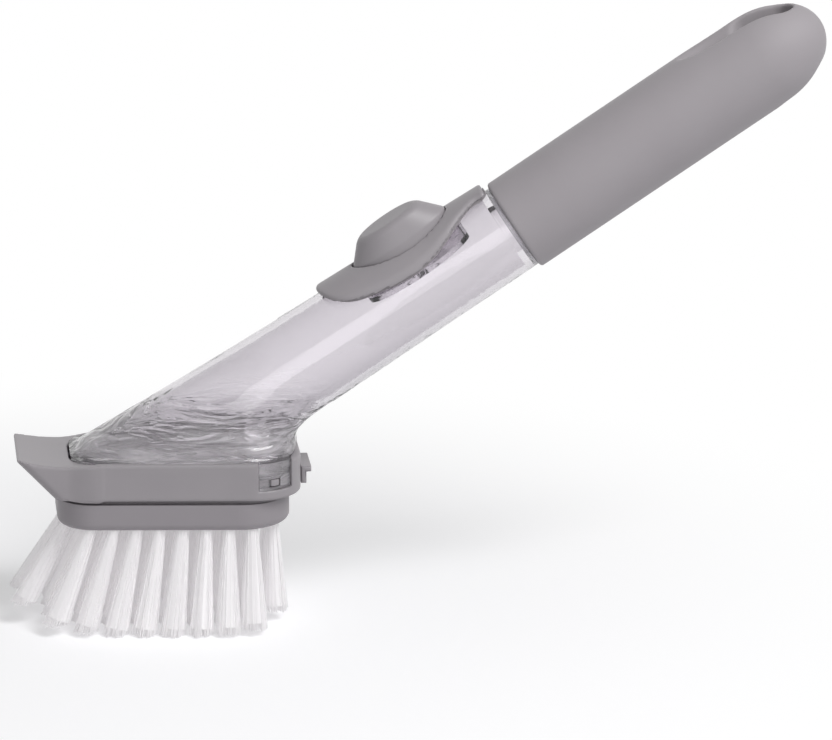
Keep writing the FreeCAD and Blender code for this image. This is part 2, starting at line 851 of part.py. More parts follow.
def make_release_latch():
    """Tongue through the heel wall, with a finger tab outside and a wider nose inside."""
    outside = "head_heel + run_gap"
    inside = "head_heel - frame_wall - latch_travel - run_gap"
    tongue = block(
        "latch_tongue",
        (f"{inside} - latch_nose", "-latch_half_width", "latch_low"),
        f"{outside} + tab_thickness - ({inside} - latch_nose)",
        "2 * latch_half_width",
        "latch_thickness",
    )
    nose = block(
        "latch_nose_block",
        (f"{inside} - latch_nose", "-latch_nose_half_width", "latch_low"),
        "latch_nose",
        "2 * latch_nose_half_width",
        "latch_thickness",
    )
    tab_corner = (outside, "-tab_half_width", "tab_low")
    tab = block("latch_tab", tab_corner, "tab_thickness", "2 * tab_half_width", "tab_height")
    lip = block(
        "latch_lip",
        (f"{outside} + tab_thickness", "-tab_half_width", "tab_low + tab_height - tab_thickness"),
        "tab_lip",
        "2 * tab_half_width",
        "tab_thickness",
    )
    return fused("release_latch", tongue, nose, tab, lip)


# Brush head

def make_snap_plate():
    plate_top = "web_low - run_gap"
    plate = head_prism("plate_solid", "block_top", f"{plate_top} - block_top", "frame_wall + run_gap")
    passage = cylinder("plate_passage", "passage_radius", "overrun", x="outlet_x", z="block_top")
    nose_front = "head_heel - frame_wall - latch_travel - latch_nose - 2 * run_gap"
    notch = block(
        "plate_notch",
        (nose_front, "-latch_nose_half_width - run_gap", "latch_low - run_gap"),
        "overrun",
        "2 * (latch_nose_half_width + run_gap)",
        "overrun",
    )
    groove = gasket_ring("plate_groove", "fit_gap", "overrun")
    return cut("snap_plate", plate, passage, notch, groove)


def gasket_ring(name, ease, rise):
    """Ring round the outlet under the frame's floor, or the groove that it lies in."""
    low = "web_low - gasket_section"
    inside = "passage_radius + gasket_groove / 2"
    profile = (
        (f"{inside} - {ease}", low),
        (f"{inside} + gasket_groove + {ease}", low),
        (f"{inside} + gasket_groove + {ease}", f"{low} + {rise}"),
        (f"{inside} - {ease}", f"{low} + {rise}"),
    )
    ring = revolved(name, "V_Axis", profile)
    bind(ring, Placement__Base__x="outlet_x")
    return ring


def tuft_span():
    """Where the first and the last column of tufts stand."""
    front = size.block_inset + size.tuft_margin - size.head_front
    heel = size.block_heel - size.block_inset - size.heel_margin
    return front, heel


def tuft_places():
    """Roots of the tufts in columns along the block: column, whether it is an outer row, x and y."""
    edge = size.block_inset + size.tuft_margin
    front, heel = tuft_span()
    columns = round(size.tuft_columns)
    places = []
    for column in range(columns):
        x = front + (heel - front) * column / (columns - 1)
        share = (x + size.head_front) / (size.head_front + size.block_heel)
        half = size.front_half_width + (size.heel_half_width - size.front_half_width) * share - edge
        for corner, inward in ((size.front_corner - edge, x - front), (size.heel_corner - edge, heel - x)):
            short = min(corner, max(0.0, corner - inward))
            half -= corner - math.sqrt(corner * corner - short * short)
        rows = 1 + math.floor(2 * half / size.tuft_row_pitch)
        for row in range(rows):
            y = half * (2 * row / (rows - 1) - 1) if rows > 1 else 0.0
            clear = math.hypot(x - size.outlet_x, y) > size.block_hole + 2 * size.tuft_radius
            if clear:
                places.append((column, row in (0, rows - 1), x, y))
    return places


def tuft(x, y):
    """Bundle with a straight root in its hole, fanned out to a flat tip; the trim rises at both ends."""
    front, heel = tuft_span()
    share = (heel - x) / (heel - front)
    tip_x = x + size.heel_fan - size.front_fan * max(0.0, share) ** FAN_POWER
    height = size.front_rise if tip_x < 0 else size.heel_rise
    rise = height * (max(0.0, abs(tip_x) - size.tip_flat) / size.tip_reach) ** 2
    root = Part.makeCylinder(size.tuft_radius, size.tuft_depth, Vector(x, y, size.block_low))
    up = Vector(0, 0, 1)
    neck = Part.Wire(Part.Circle(Vector(x, y, size.block_low), up, size.tuft_radius).toShape())
    spread = Vector(tip_x, y * (1 + SIDE_FAN_SHARE), rise)
    tip = Part.Wire(Part.Circle(spread, up, size.tuft_tip_radius).toShape())
    return root.fuse(Part.makeLoft([tip, neck], True, True))


def make_tufts():
    carrying = []
    others = []
    for column, outermost, x, y in tuft_places():
        group = carrying if outermost and column in SUPPORT_COLUMNS else others
        group.append(tuft(x, y))
    shaped("support_tufts", Part.makeCompound(carrying))
    shaped("bristle_tufts", Part.makeCompound(others))


def make_tuft_anchors():
    """Steel blade across the floor of each hole."""
    low = size.block_low + size.tuft_depth + size.fit_gap
    rise = size.tuft_hole_depth - size.tuft_depth - 2 * size.fit_gap
    blades = []
    for column, outermost, x, y in tuft_places():
        corner = Vector(x - size.anchor_width / 2, y - size.anchor_thickness / 2, low)
        blades.append(Part.makeBox(size.anchor_width, size.anchor_thickness, rise, corner))
    return shaped("tuft_anchors", Part.makeCompound(blades))


def make_brush_block():
    body = head_prism("block_solid", "block_low", "block_top - block_low", "block_inset", heel="block_heel")
    round_edges(body, "block_lower_edge", "block_edge", lambda edge: edge.BoundBox.ZMax < edge.Length / 1000)
    passage = cylinder("block_passage", "block_hole", "overrun", x="outlet_x", z="block_low")
    radius = size.tuft_radius + size.fit_gap
    holes = [
        Part.makeCylinder(radius, size.tuft_hole_depth, Vector(x, y, size.block_low))
        for column, outermost, x, y in tuft_places()
    ]
    return cut("brush_block", body, passage, shaped("tuft_holes", Part.makeCompound(holes)))


SUBPARTS = (
    "reservoir_shell",
    "neck_gasket",
    "handle_core",
    "grip_sleeve",
    "button_seat",
    "button_bezel",
    "button_cap",
    "pump_cup",
    "pump_bellows",
    "return_spring",
    "head_seal",
    "scraper_frame",
    "outlet_valve",
    "valve_retainer",
    "release_latch",
    "snap_plate",
    "outlet_gasket",
    "brush_block",
    "bristle_tufts",
    "support_tufts",
    "tuft_anchors",
)

make_reservoir_shell(make_snap_lugs())
make_head_seal()
make_neck_gasket()
make_handle_core()
make_grip_sleeve()
make_button_seat()
make_button_bezel()
make_button_cap()
make_pump_cup()
make_pump_bellows()
make_return_spring()
make_scraper_frame()
make_outlet_valve()
make_valve_retainer()
make_release_latch()
make_snap_plate()
gasket_ring("outlet_gasket", "0", "gasket_section")
make_brush_block()
make_tufts()
make_tuft_anchors()
doc.recompute()

for thing in doc.Objects:
    if "Invalid" in thing.State or "Error" in thing.State:
        raise RuntimeError(f"{thing.Label} did not compute: {thing.State}")
os.makedirs("parts", exist_ok=True)
for name in SUBPARTS:
    thing = doc.getObject(name)
    thing.Label = name
    if thing.Shape.isNull() or not thing.Shape.isValid() or not thing.Shape.Solids:
        raise RuntimeError(f"{name} has no sound solid")
for name in SUBPARTS:
    shape = doc.getObject(name).Shape
    shape.exportStep(f"parts/{name}.step")
    print(f"{name}: {len(shape.Solids)} solids, {shape.Volume / 1000:.2f} cm3")
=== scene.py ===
"""Dress of the dish wand: finishes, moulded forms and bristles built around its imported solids."""

import logging
import math
from dataclasses import dataclass
from enum import Enum
from typing import Any, Callable, ClassVar, Sequence

import bmesh
import bpy
import numpy as np
from bpy.types import ID, Material, Mesh, Node, NodeSocket, NodeTree, Object, bpy_prop_collection
from mathutils import Matrix, Vector


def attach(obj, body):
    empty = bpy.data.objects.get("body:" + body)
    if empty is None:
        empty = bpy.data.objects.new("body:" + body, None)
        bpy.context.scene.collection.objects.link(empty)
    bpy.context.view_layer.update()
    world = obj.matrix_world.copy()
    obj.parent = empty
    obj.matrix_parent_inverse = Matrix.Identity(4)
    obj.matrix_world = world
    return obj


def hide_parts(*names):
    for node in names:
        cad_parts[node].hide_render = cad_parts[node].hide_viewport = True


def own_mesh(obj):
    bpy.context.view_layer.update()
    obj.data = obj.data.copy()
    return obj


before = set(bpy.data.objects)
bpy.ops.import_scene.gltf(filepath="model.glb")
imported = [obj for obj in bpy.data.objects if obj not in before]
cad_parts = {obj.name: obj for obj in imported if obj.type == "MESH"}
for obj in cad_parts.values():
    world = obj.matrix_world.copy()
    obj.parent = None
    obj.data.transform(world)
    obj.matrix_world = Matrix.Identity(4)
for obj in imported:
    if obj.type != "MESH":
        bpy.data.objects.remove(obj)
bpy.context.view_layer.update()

log = logging.getLogger("dish_wand")

Array = np.ndarray
Field = Callable[[Array, Array, Array], Array]
Point = tuple[float, float, float]
Inputs = dict[str | int, Any]

MM = 0.001
SAME_POINT = 0.002
SOCKETS = {
    int: "NodeSocketInt",
    float: "NodeSocketFloat",
    Material: "NodeSocketMaterial",
}


class Part(Enum):
    """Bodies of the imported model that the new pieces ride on."""

    WAND = "wand"
    HANDLE = "handle"
    BUTTON = "button"
    LATCH = "latch"
    BRUSH_HEAD = "brush_head"


class Shading(Enum):
    """How a piece's faces meet: the angle in degrees past which an edge shows as an edge."""

    FLOWING = 60.0
    MOULDED = 32.0


# Colour and nodes


def linear(code: str) -> tuple[float, float, float, float]:
    """Turns an sRGB hex colour into the linear values that a shader takes.

    Args:
        code: Six hex digits after a hash sign.

    Returns:
        Red, green, blue and an alpha of one.
    """
    shares = [int(code[k : k + 2], 16) / 255 for k in (1, 3, 5)]
    red, green, blue = (s / 12.92 if s <= 0.04045 else ((s + 0.055) / 1.055) ** 2.4 for s in shares)
    return red, green, blue, 1.0


WHITE = linear("#ffffff")


def per_metre(millimetres: float) -> float:
    """Scale of a pattern on Object coordinates whose features are this wide."""
    return 1.0 / (millimetres * MM)


@dataclass(frozen=True)
class Wiring:
    """A node tree in the making."""

    tree: NodeTree

    def feed(self, node: Node, inputs: Inputs) -> None:
        """Sets a node's inputs to values, or links them to sockets or to the first result of other nodes.

        Args:
            node: The node.
            inputs: Values, sockets or nodes for its inputs, by name or place.
        """
        for key, value in inputs.items():
            if isinstance(value, Node):
                value = next(result for result in value.outputs if result.enabled)
            if isinstance(value, NodeSocket):
                self.tree.links.new(value, node.inputs[key])
            else:
                node.inputs[key].default_value = value

    def add(self, kind: str, inputs: Inputs | None = None, **settings: Any) -> Node:
        """Adds a node with its settings, its fixed inputs and its links.

        Args:
            kind: Blender's name of the node type.
            inputs: What the node's inputs are fed with.
            settings: Properties of the node itself.

        Returns:
            The new node.
        """
        node = self.tree.nodes.new(kind)
        for name, value in settings.items():
            setattr(node, name, value)
        self.feed(node, inputs or {})
        return node


# Finishes


@dataclass(frozen=True)
class Finish:
    """What every finish has: a name, a record slot and a way to make its material.

    Attributes:
        name: Name of the material.
        slot: The record's material slot; not used.
        colour: Main colour as an sRGB hex value.
        roughness: Roughness of the bare surface.
        ior: Index of refraction.
    """

    name: str
    slot: str
    colour: str
    roughness: float
    ior: float

    def material(self) -> Material:
        """Gives the material, made on the first call."""
        found = bpy.data.materials.get(self.name)
        return found if found else self._make()

    def _make(self) -> Material:
        """Makes the material around a Principled shader that the finish's surface feeds.

        Returns:
            The new material.
        """
        material = bpy.data.materials.new(self.name)
        material.use_nodes = True
        material.diffuse_color = linear(self.colour)
        wiring = Wiring(material.node_tree)
        shader = material.node_tree.nodes["Principled BSDF"]
        place = wiring.add("ShaderNodeTexCoord").outputs["Object"]
        wiring.feed(shader, self.even())
        wiring.feed(shader, self.surface(wiring, place))
        return material

    def even(self) -> Inputs:
        """Even values of the shader, which the surface's patterns are laid over."""
        return {"Base Color": linear(self.colour), "Roughness": self.roughness, "IOR": self.ior}

    def surface(self, wiring: Wiring, place: NodeSocket) -> Inputs:
        """What the surface feeds to the shader; a plain finish feeds nothing."""
        return {}


@dataclass(frozen=True)
class MouldedPlastic(Finish):
    """Polypropylene or ABS from a spark-eroded mould: a fine matte grain and a slow drift of tone.

    Attributes:
        drift_colour: Second tone that the colour drifts to.
        grain: Width of the mould's grain in millimetres, coarser than the real 0.1 so that it shows.
        grain_depth: Depth of the grain in millimetres.
        grain_strength: Share of that depth that shows.
        cloud: Width of the slow drift of tone in millimetres.
        spread: How far the roughness goes up and down with the grain.
    """

    drift_colour: str = "#808080"
    grain: float = 0.35
    grain_depth: float = 0.02
    grain_strength: float = 0.6
    cloud: float = 18.0
    spread: float = 0.06

    def surface(self, wiring: Wiring, place: NodeSocket) -> Inputs:
        """Makes the grain as bump and roughness, and the drift of tone.

        Args:
            wiring: The material's nodes.
            place: Object coordinates.

        Returns:
            What the shader is fed with.
        """
        cloud, grain = (
            wiring.add(
                "ShaderNodeTexNoise",
                {"Vector": place, "Scale": per_metre(width), "Detail": detail, "Roughness": rough},
            )
            for width, detail, rough in ((self.cloud, 3.0, 0.55), (self.grain, 2.0, 0.5))
        )
        tone = wiring.add(
            "ShaderNodeMix",
            {"Factor": cloud, "A": linear(self.colour), "B": linear(self.drift_colour)},
            data_type="RGBA",
        )
        low, high = self.roughness - self.spread, self.roughness + self.spread
        polish = wiring.add("ShaderNodeMapRange", {"Value": grain, "To Min": low, "To Max": high})
        bump = wiring.add(
            "ShaderNodeBump",
            {"Height": grain, "Strength": self.grain_strength, "Distance": self.grain_depth * MM},
        )
        return {"Base Color": tone, "Roughness": polish, "Normal": bump}


@dataclass(frozen=True)
class SoftTouchRubber(MouldedPlastic):
    """Thermoplastic rubber moulded over a hard core: velvety, with a pale sheen at the edges.

    Attributes:
        sheen: Weight of the velvety sheen.
        sheen_roughness: How far the sheen spreads from the edges.
    """

    sheen: float = 0.15
    sheen_roughness: float = 0.5

    def surface(self, wiring: Wiring, place: NodeSocket) -> Inputs:
        """Adds the sheen to the moulded grain."""
        sheen = {"Sheen Weight": self.sheen, "Sheen Roughness": self.sheen_roughness}
        return super().surface(wiring, place) | sheen


@dataclass(frozen=True)
class ClearPlastic(Finish):
    """Clear styrene from a polished mould: glassy, with slow flow waves that bend what is behind.

    Attributes:
        wave: Width of the flow waves in millimetres.
        wave_depth: Depth of the flow waves in millimetres.
        clarity: Weight of the light that passes through.
        swirl: Width in millimetres of the stronger waves in the thick foot of the moulding.
        swirl_depth: Their depth in millimetres.
        swirl_stretch: How much closer they follow each other along each axis.
        swirl_levels: Heights in millimetres between which they fade out.
        haze: Most light that their flow lines scatter instead of passing it on.
        haze_heights: Heights of the waves between which the haze sets in.
        painted_edge_shade: Painted shade, a darker tone mixed in at a glancing look where dark surroundings
            would show through the wall.
        painted_edge_reach: How far from the outline that painted shade reaches.
    """

    wave: float = 14.0
    wave_depth: float = 0.05
    clarity: float = 1.0
    swirl: float = 5.0
    swirl_depth: float = 0.0
    swirl_stretch: Point = (0.25, 0.6, 1.5)
    swirl_levels: tuple[float, float] = (54.0, 69.0)
    haze: float = 0.4
    haze_heights: tuple[float, float] = (0.25, 0.7)
    painted_edge_shade: str = "#8c878d"
    painted_edge_reach: float = 0.2

    def even(self) -> Inputs:
        """Adds the light that passes through to the even values."""
        return super().even() | {"Transmission Weight": self.clarity}

    def surface(self, wiring: Wiring, place: NodeSocket) -> Inputs:
        """Makes the flow waves and the painted shade that greys the outline.

        Args:
            wiring: The material's nodes.
            place: Object coordinates.

        Returns:
            What the shader is fed with.
        """
        waves = wiring.add(
            "ShaderNodeTexNoise", {"Vector": place, "Scale": per_metre(self.wave), "Detail": 1.0}
        )
        bump = wiring.add(
            "ShaderNodeBump", {"Height": waves, "Strength": 1.0, "Distance": self.wave_depth * MM}
        )
        looks = self._swirls(wiring, place, bump) if self.swirl_depth else {"Normal": bump}
        # Painted shade: the colour turns darker towards the outline at a glancing look, in place of dark
        # surroundings seen through the wall.
        painted_edge_mask = wiring.add("ShaderNodeLayerWeight", {"Blend": self.painted_edge_reach, "Normal": looks["Normal"]})
        painted_edge_tint = wiring.add(
            "ShaderNodeMix",
            {"Factor": painted_edge_mask.outputs["Facing"], "A": linear(self.colour), "B": linear(self.painted_edge_shade)},
            data_type="RGBA",
        )
        return looks | {"Base Color": painted_edge_tint}

    def _swirls(self, wiring: Wiring, place: NodeSocket, bump: Node) -> Inputs:
        """Makes the long waves and hazy flow lines that the thick foot of the moulding shows.

        Args:
            wiring: The material's nodes.
            place: Object coordinates.
            bump: The bump that the waves are laid over.

        Returns:
            The light that passes through and the bump with the waves.
        """
        drawn = wiring.add("ShaderNodeMapping", {"Vector": place, "Scale": self.swirl_stretch})
        swirls = wiring.add(
            "ShaderNodeTexNoise",
            {"Vector": drawn, "Scale": per_metre(self.swirl), "Detail": 2.0, "Distortion": 0.8},
        )
        level = wiring.add("ShaderNodeSeparateXYZ", {0: place}).outputs["Z"]
        low, high = self.swirl_levels
        foot = wiring.add(
            "ShaderNodeMapRange",
            {"Value": level, "From Min": low * MM, "From Max": high * MM, "To Min": 1.0, "To Max": 0.0},
            interpolation_type="SMOOTHSTEP",
        )
        height = wiring.add("ShaderNodeMath", {0: swirls, 1: foot}, operation="MULTIPLY")
        low, high = self.haze_heights
        hazy = self.clarity - self.haze
        clear = wiring.add(
            "ShaderNodeMapRange",
            {"Value": height, "From Min": low, "From Max": high, "To Min": self.clarity, "To Max": hazy},
        )
        depth = self.swirl_depth * MM
        swirled = wiring.add(
            "ShaderNodeBump", {"Height": height, "Normal": bump, "Strength": 1.0, "Distance": depth}
        )
        return {"Transmission Weight": clear, "Normal": swirled}


@dataclass(frozen=True)
class NylonFilament(Finish):
    """Extruded white nylon: milky, each filament a little different in tone, and brightened by a painted
    glow.

    Attributes:
        shade_colour: Tone of the greyer filaments.
        strand: Width of the changes of tone in millimetres, about one filament.
        strand_stretch: How much closer they follow each other along each axis.
        milk: Weight of the light that scatters inside the filaments.
        milk_depth: How far it scatters in millimetres.
        painted_glow: Strength of a painted glow, an emission in the nylon's own colour that makes the
            filaments look lit from within.
    """

    shade_colour: str = "#eceaed"
    strand: float = 0.5
    strand_stretch: Point = (1.0, 1.0, 0.05)
    milk: float = 0.5
    milk_depth: float = 2.0
    painted_glow: float = 0.14

    def surface(self, wiring: Wiring, place: NodeSocket) -> Inputs:
        """Makes the milky scattering, the painted glow and the changes of tone from filament to filament.

        Args:
            wiring: The material's nodes.
            place: Object coordinates.

        Returns:
            What the shader is fed with.
        """
        along = wiring.add("ShaderNodeMapping", {"Vector": place, "Scale": self.strand_stretch})
        tones = wiring.add(
            "ShaderNodeTexNoise", {"Vector": along, "Scale": per_metre(self.strand), "Detail": 1.0}
        )
        tone = wiring.add(
            "ShaderNodeMix",
            {"Factor": tones, "A": linear(self.colour), "B": linear(self.shade_colour)},
            data_type="RGBA",
        )
        return {
            "Base Color": tone,
            "Subsurface Weight": self.milk,
            "Subsurface Radius": (1.0, 1.0, 1.0),
            "Subsurface Scale": self.milk_depth * MM,
            # Painted glow: the filaments emit their own colour, so they look brighter than the light on them
            # makes them.
            "Emission Color": linear(self.colour),
            "Emission Strength": self.painted_glow,
        }


@dataclass(frozen=True)
class DrawnSteel(Finish):
    """Bright drawn spring steel: fine scratches along the wire.

    Attributes:
        scratch: Width of the drawing marks in millimetres, coarser than the real ones so that they show.
        polish: How far the roughness goes down and up from the bare one along the marks.
    """

    scratch: float = 0.15
    polish: tuple[float, float] = (-0.08, 0.1)

    def surface(self, wiring: Wiring, place: NodeSocket) -> Inputs:
        """Makes the metal and its drawing marks.

        Args:
            wiring: The material's nodes.
            place: Object coordinates.

        Returns:
            What the shader is fed with.
        """
        marks = wiring.add(
            "ShaderNodeTexNoise", {"Vector": place, "Scale": per_metre(self.scratch), "Detail": 2.0}
        )
        low, high = (self.roughness + change for change in self.polish)
        polish = wiring.add("ShaderNodeMapRange", {"Value": marks, "To Min": low, "To Max": high})
        return {"Metallic": 1.0, "Roughness": polish}


GRIP_RUBBER = SoftTouchRubber(
    "soft_touch_rubber", "grip_soft_touch", "#9b969a", 0.62, 1.5, drift_colour="#a39ea2", grain=0.45
)
GREY_PLASTIC = MouldedPlastic(
    "moulded_grey_polypropylene", "grey_plastic", "#949094", 0.42, 1.49, drift_colour="#a09b9f"
)
BLOCK_PLASTIC = MouldedPlastic(
    "moulded_block_polypropylene", "block_plastic", "#928d92", 0.46, 1.49, drift_colour="#979296"
)
SEAL_RUBBER = MouldedPlastic(
    "grey_seal_rubber", "grey_seal", "#8d888c", 0.55, 1.5, drift_colour="#928d91"
)
CLEAR_STYRENE = ClearPlastic("clear_styrene", "clear_plastic", "#e9e6ea", 0.02, 1.5, swirl_depth=1.7)
CLEAR_SILICONE = ClearPlastic(
    "translucent_silicone", "clear_silicone", "#eceaee", 0.25, 1.41, clarity=0.8, wave_depth=0.02
)
WHITE_NYLON = NylonFilament("white_nylon", "bristle_nylon", "#fcfafb", 0.38, 1.53)
SPRING_STEEL = DrawnSteel("drawn_spring_steel", "spring_steel", "#cfd0d2", 0.25, 1.5)


# Fields: signed distances in millimetres, below zero inside


LEAST_SLOPE = 1e-6
LEAST_LENGTH = 1e-9


def rounded_max(first: Array, second: Array, radius: float) -> Array:
    """Keeps what lies in both fields, with the edge between them rounded.

    Args:
        first: One field's values.
        second: The other field's values.
        radius: Radius of the edge in millimetres.

    Returns:
        The joined field's values.
    """
    reach = np.hypot(np.maximum(first + radius, 0.0), np.maximum(second + radius, 0.0))
    return np.minimum(np.maximum(first, second), -radius) + reach


def rounded_min(first: Array, second: Array, radius: float) -> Array:
    """Joins two fields, with the inner corner between them filled to a radius.

    Args:
        first: One field's values.
        second: The other field's values.
        radius: Radius of the fillet in millimetres.

    Returns:
        The joined field's values.
    """
    return -rounded_max(-first, -second, radius)


def ellipsoid(offsets: Sequence[Array], radii: Sequence[float | Array]) -> Array:
    """Near distance to an ellipsoid, or to an ellipse where two offsets are given.

    Args:
        offsets: Offsets from its centre along its axes.
        radii: Half axes in millimetres.

    Returns:
        The field's values.
    """
    share = np.sqrt(sum((o / r) ** 2 for o, r in zip(offsets, radii)))
    slope = np.sqrt(sum((o / (r * r)) ** 2 for o, r in zip(offsets, radii)))
    return share * (share - 1.0) / np.maximum(slope, LEAST_SLOPE)


def slab(along: Array, low: float, high: float) -> Array:
    """Distance to the layer between two levels."""
    return np.maximum(low - along, along - high)


def outline_distance(corners: Array, x: Array, y: Array) -> Array:
    """Signed distance to a closed outline in a plane.

    Args:
        corners: The outline's corners in order, one row each.
        x: First coordinates of the points.
        y: Second coordinates of the points.

    Returns:
        Distances, below zero inside.
    """
    nearest = np.full(x.shape, np.inf)
    inside = np.zeros(x.shape, bool)
    for (ax, ay), (bx, by) in zip(corners, np.roll(corners, -1, axis=0)):
        ex, ey = bx - ax, by - ay
        share = np.clip(((x - ax) * ex + (y - ay) * ey) / (ex * ex + ey * ey), 0.0, 1.0)
        nearest = np.minimum(nearest, (x - ax - ex * share) ** 2 + (y - ay - ey * share) ** 2)
        if ay != by:
            inside ^= ((ay > y) != (by > y)) & (x < ax + ex * (y - ay) / ey)
    return np.where(inside, -1.0, 1.0) * np.sqrt(nearest)


@dataclass(frozen=True)
class FieldMesher:
    """Draws a field's zero surface as a closed net of quads.

    Attributes:
        cell: Width of the net's cells in millimetres.
        rounds: Times that the net is evened out and drawn back onto the surface.
        draws: Steps of each drawing back.
        margin: Cells that the grid reaches past its box.
        feel: Distance in millimetres over which the field's slope is taken.
        flattest: Least square of the slope that a step is taken for.
    """

    cell: float
    rounds: int = 3
    draws: int = 2
    margin: float = 1.5
    feel: float = 0.02
    flattest: float = 0.05

    def net(self, field: Field, low: Point, high: Point) -> tuple[Array, Array]:
        """Finds one point in each cell that the surface crosses and joins them.

        Args:
            field: The field to draw.
            low: Lowest corner of the box that holds the surface, in millimetres.
            high: Highest corner of that box.

        Returns:
            The points in millimetres, and the quads as rows of four point numbers.
        """
        start = np.array(low) - self.margin * self.cell
        counts = np.ceil((np.array(high) - start) / self.cell).astype(int) + 2
        axes = [start[k] + self.cell * np.arange(counts[k]) for k in range(3)]
        values = field(*np.meshgrid(*axes, indexing="ij"))
        inside = values < 0.0
        total = np.zeros((*(counts - 1), 3))
        hits = np.zeros(counts - 1)
        for axis in range(3):
            self._gather(values, inside, axis, total, hits)
        number = np.full(counts - 1, -1)
        active = hits > 0
        number[active] = np.arange(active.sum())
        points = start + self.cell * total[active] / hits[active][:, None]
        quads = np.concatenate([self._ring(inside, axis, number) for axis in range(3)])
        return self._settle(field, points, quads), quads

    @staticmethod
    def _ends(axis: int) -> tuple[tuple[slice, ...], ...]:
        """Windows on the grid that hold the near and the far ends of its edges along one axis.

        Args:
            axis: Axis of the edges.

        Returns:
            The two windows.
        """
        spans = (slice(None, -1), slice(1, None))
        return tuple(tuple(span if k == axis else slice(None) for k in range(3)) for span in spans)

    @staticmethod
    def _gather(values: Array, inside: Array, axis: int, total: Array, hits: Array) -> None:
        """Adds the crossings of the grid's edges along one axis to the cells round them.

        Args:
            values: The field on the grid.
            inside: Where the field is below zero.
            axis: Axis of the edges.
            total: Sum of crossing points for each cell, added to in place.
            hits: Count of crossing points for each cell, added to in place.
        """
        near, far = FieldMesher._ends(axis)
        crossing = inside[near] != inside[far]
        first, second = values[near], values[far]
        share = np.where(crossing, first / np.where(crossing, first - second, 1.0), 0.0)
        spot = np.stack(np.indices(crossing.shape), axis=-1).astype(float)
        spot[..., axis] += share
        spot *= crossing[..., None]
        others = [k for k in range(3) if k != axis]
        for shift in ((0, 0), (0, 1), (1, 0), (1, 1)):
            window = [slice(None)] * 3
            for k, step in zip(others, shift):
                window[k] = slice(step, values.shape[k] - 1 + step)
            total += spot[tuple(window)]
            hits += crossing[tuple(window)]

    @staticmethod
    def _ring(inside: Array, axis: int, number: Array) -> Array:
        """Joins the four cells round each crossed edge along one axis.

        Args:
            inside: Where the field is below zero.
            axis: Axis of the edges.
            number: Point number of each cell.

        Returns:
            Quads that face outwards.
        """
        near, far = FieldMesher._ends(axis)
        spots = np.argwhere(inside[near] != inside[far])
        steps = np.eye(3, dtype=int)
        across, up = steps[(axis + 1) % 3], steps[(axis + 2) % 3]
        ring = (spots - across - up, spots - up, spots, spots - across)
        quads = np.stack([number[tuple(cells.T)] for cells in ring], axis=1)
        outward = inside[tuple(spots.T)]
        return np.where(outward[:, None], quads, quads[:, ::-1])

    def _settle(self, field: Field, points: Array, quads: Array) -> Array:
        """Evens the net out and draws its points back onto the surface.

        Args:
            field: The field.
            points: The net's points.
            quads: Its quads.

        Returns:
            The settled points.
        """
        edges = np.concatenate([quads[:, [k, (k + 1) % 4]] for k in range(4)])
        counts = np.bincount(edges[:, 0], minlength=len(points)) + LEAST_LENGTH
        for _ in range(self.rounds):
            sums = [np.bincount(edges[:, 0], points[edges[:, 1], k], len(points)) for k in range(3)]
            points = 0.5 * points + 0.5 * np.stack(sums, axis=1) / counts[:, None]
            for _ in range(self.draws):
                points = points - self._to_surface(field, points)
        return points

    def _to_surface(self, field: Field, points: Array) -> Array:
        """Gives the step from each point to the surface along the field's slope.

        Args:
            field: The field.
            points: Points near the surface.

        Returns:
            One step for each point, no longer than half a cell.
        """
        slopes = []
        for axis in np.eye(3) * self.feel:
            ahead, behind = field(*(points + axis).T), field(*(points - axis).T)
            slopes.append((ahead - behind) / (2 * self.feel))
        slope = np.stack(slopes, axis=1)
        steep = np.maximum((slope**2).sum(axis=1), self.flattest)
        step = slope * (field(*points.T) / steep)[:, None]
        length = np.linalg.norm(step, axis=1, keepdims=True)
        return step * np.minimum(1.0, 0.5 * self.cell / np.maximum(length, LEAST_LENGTH))

# Pieces


def put(name: str, data: ID) -> Object:
    """Puts a mesh, a lamp or a camera into the scene.

    Args:
        name: Name of the object.
        data: What it shows.

    Returns:
        The new object.
    """
    thing = bpy.data.objects.new(name, data)
    bpy.context.scene.collection.objects.link(thing)
    return thing


def shade(mesh: Mesh, shading: Shading) -> None:
    """Smooths a mesh up to the angle past which its edges show."""
    mesh.shade_smooth()
    mesh.set_sharp_from_angle(angle=math.radians(shading.value))


def new_piece(name: str, points: Array, faces: Array, shading: Shading) -> Object:
    """Makes a mesh object with its place in its mesh.

    Args:
        name: Name of the piece.
        points: Its points in metres.
        faces: Its faces as rows of point numbers.
        shading: How its faces meet.

    Returns:
        The new object.
    """
    mesh = bpy.data.meshes.new(name)
    mesh.from_pydata(points.tolist(), [], faces.tolist())
    shade(mesh, shading)
    return put(name, mesh)


def merged_copy(node: str, name: str, shading: Shading) -> Object:
    """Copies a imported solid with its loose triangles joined, so that it can be smoothed or bevelled.

    Args:
        node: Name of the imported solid.
        name: Name of the copy.
        shading: How its faces meet.

    Returns:
        The copy, in place.
    """
    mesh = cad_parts[node].data.copy()
    mesh.name = name
    shape = bmesh.new()
    shape.from_mesh(mesh)
    bmesh.ops.remove_doubles(shape, verts=shape.verts, dist=SAME_POINT * MM)
    shape.to_mesh(mesh)
    shape.free()
    if mesh.attributes.get("custom_normal"):
        mesh.attributes.remove(mesh.attributes["custom_normal"])
    shade(mesh, shading)
    return put(name, mesh)


def coat(piece: Object, finish: Finish) -> None:
    """Gives a piece its material.

    Args:
        piece: The piece.
        finish: Its finish.
    """
    piece.data.materials.clear()
    piece.data.materials.append(finish.material())


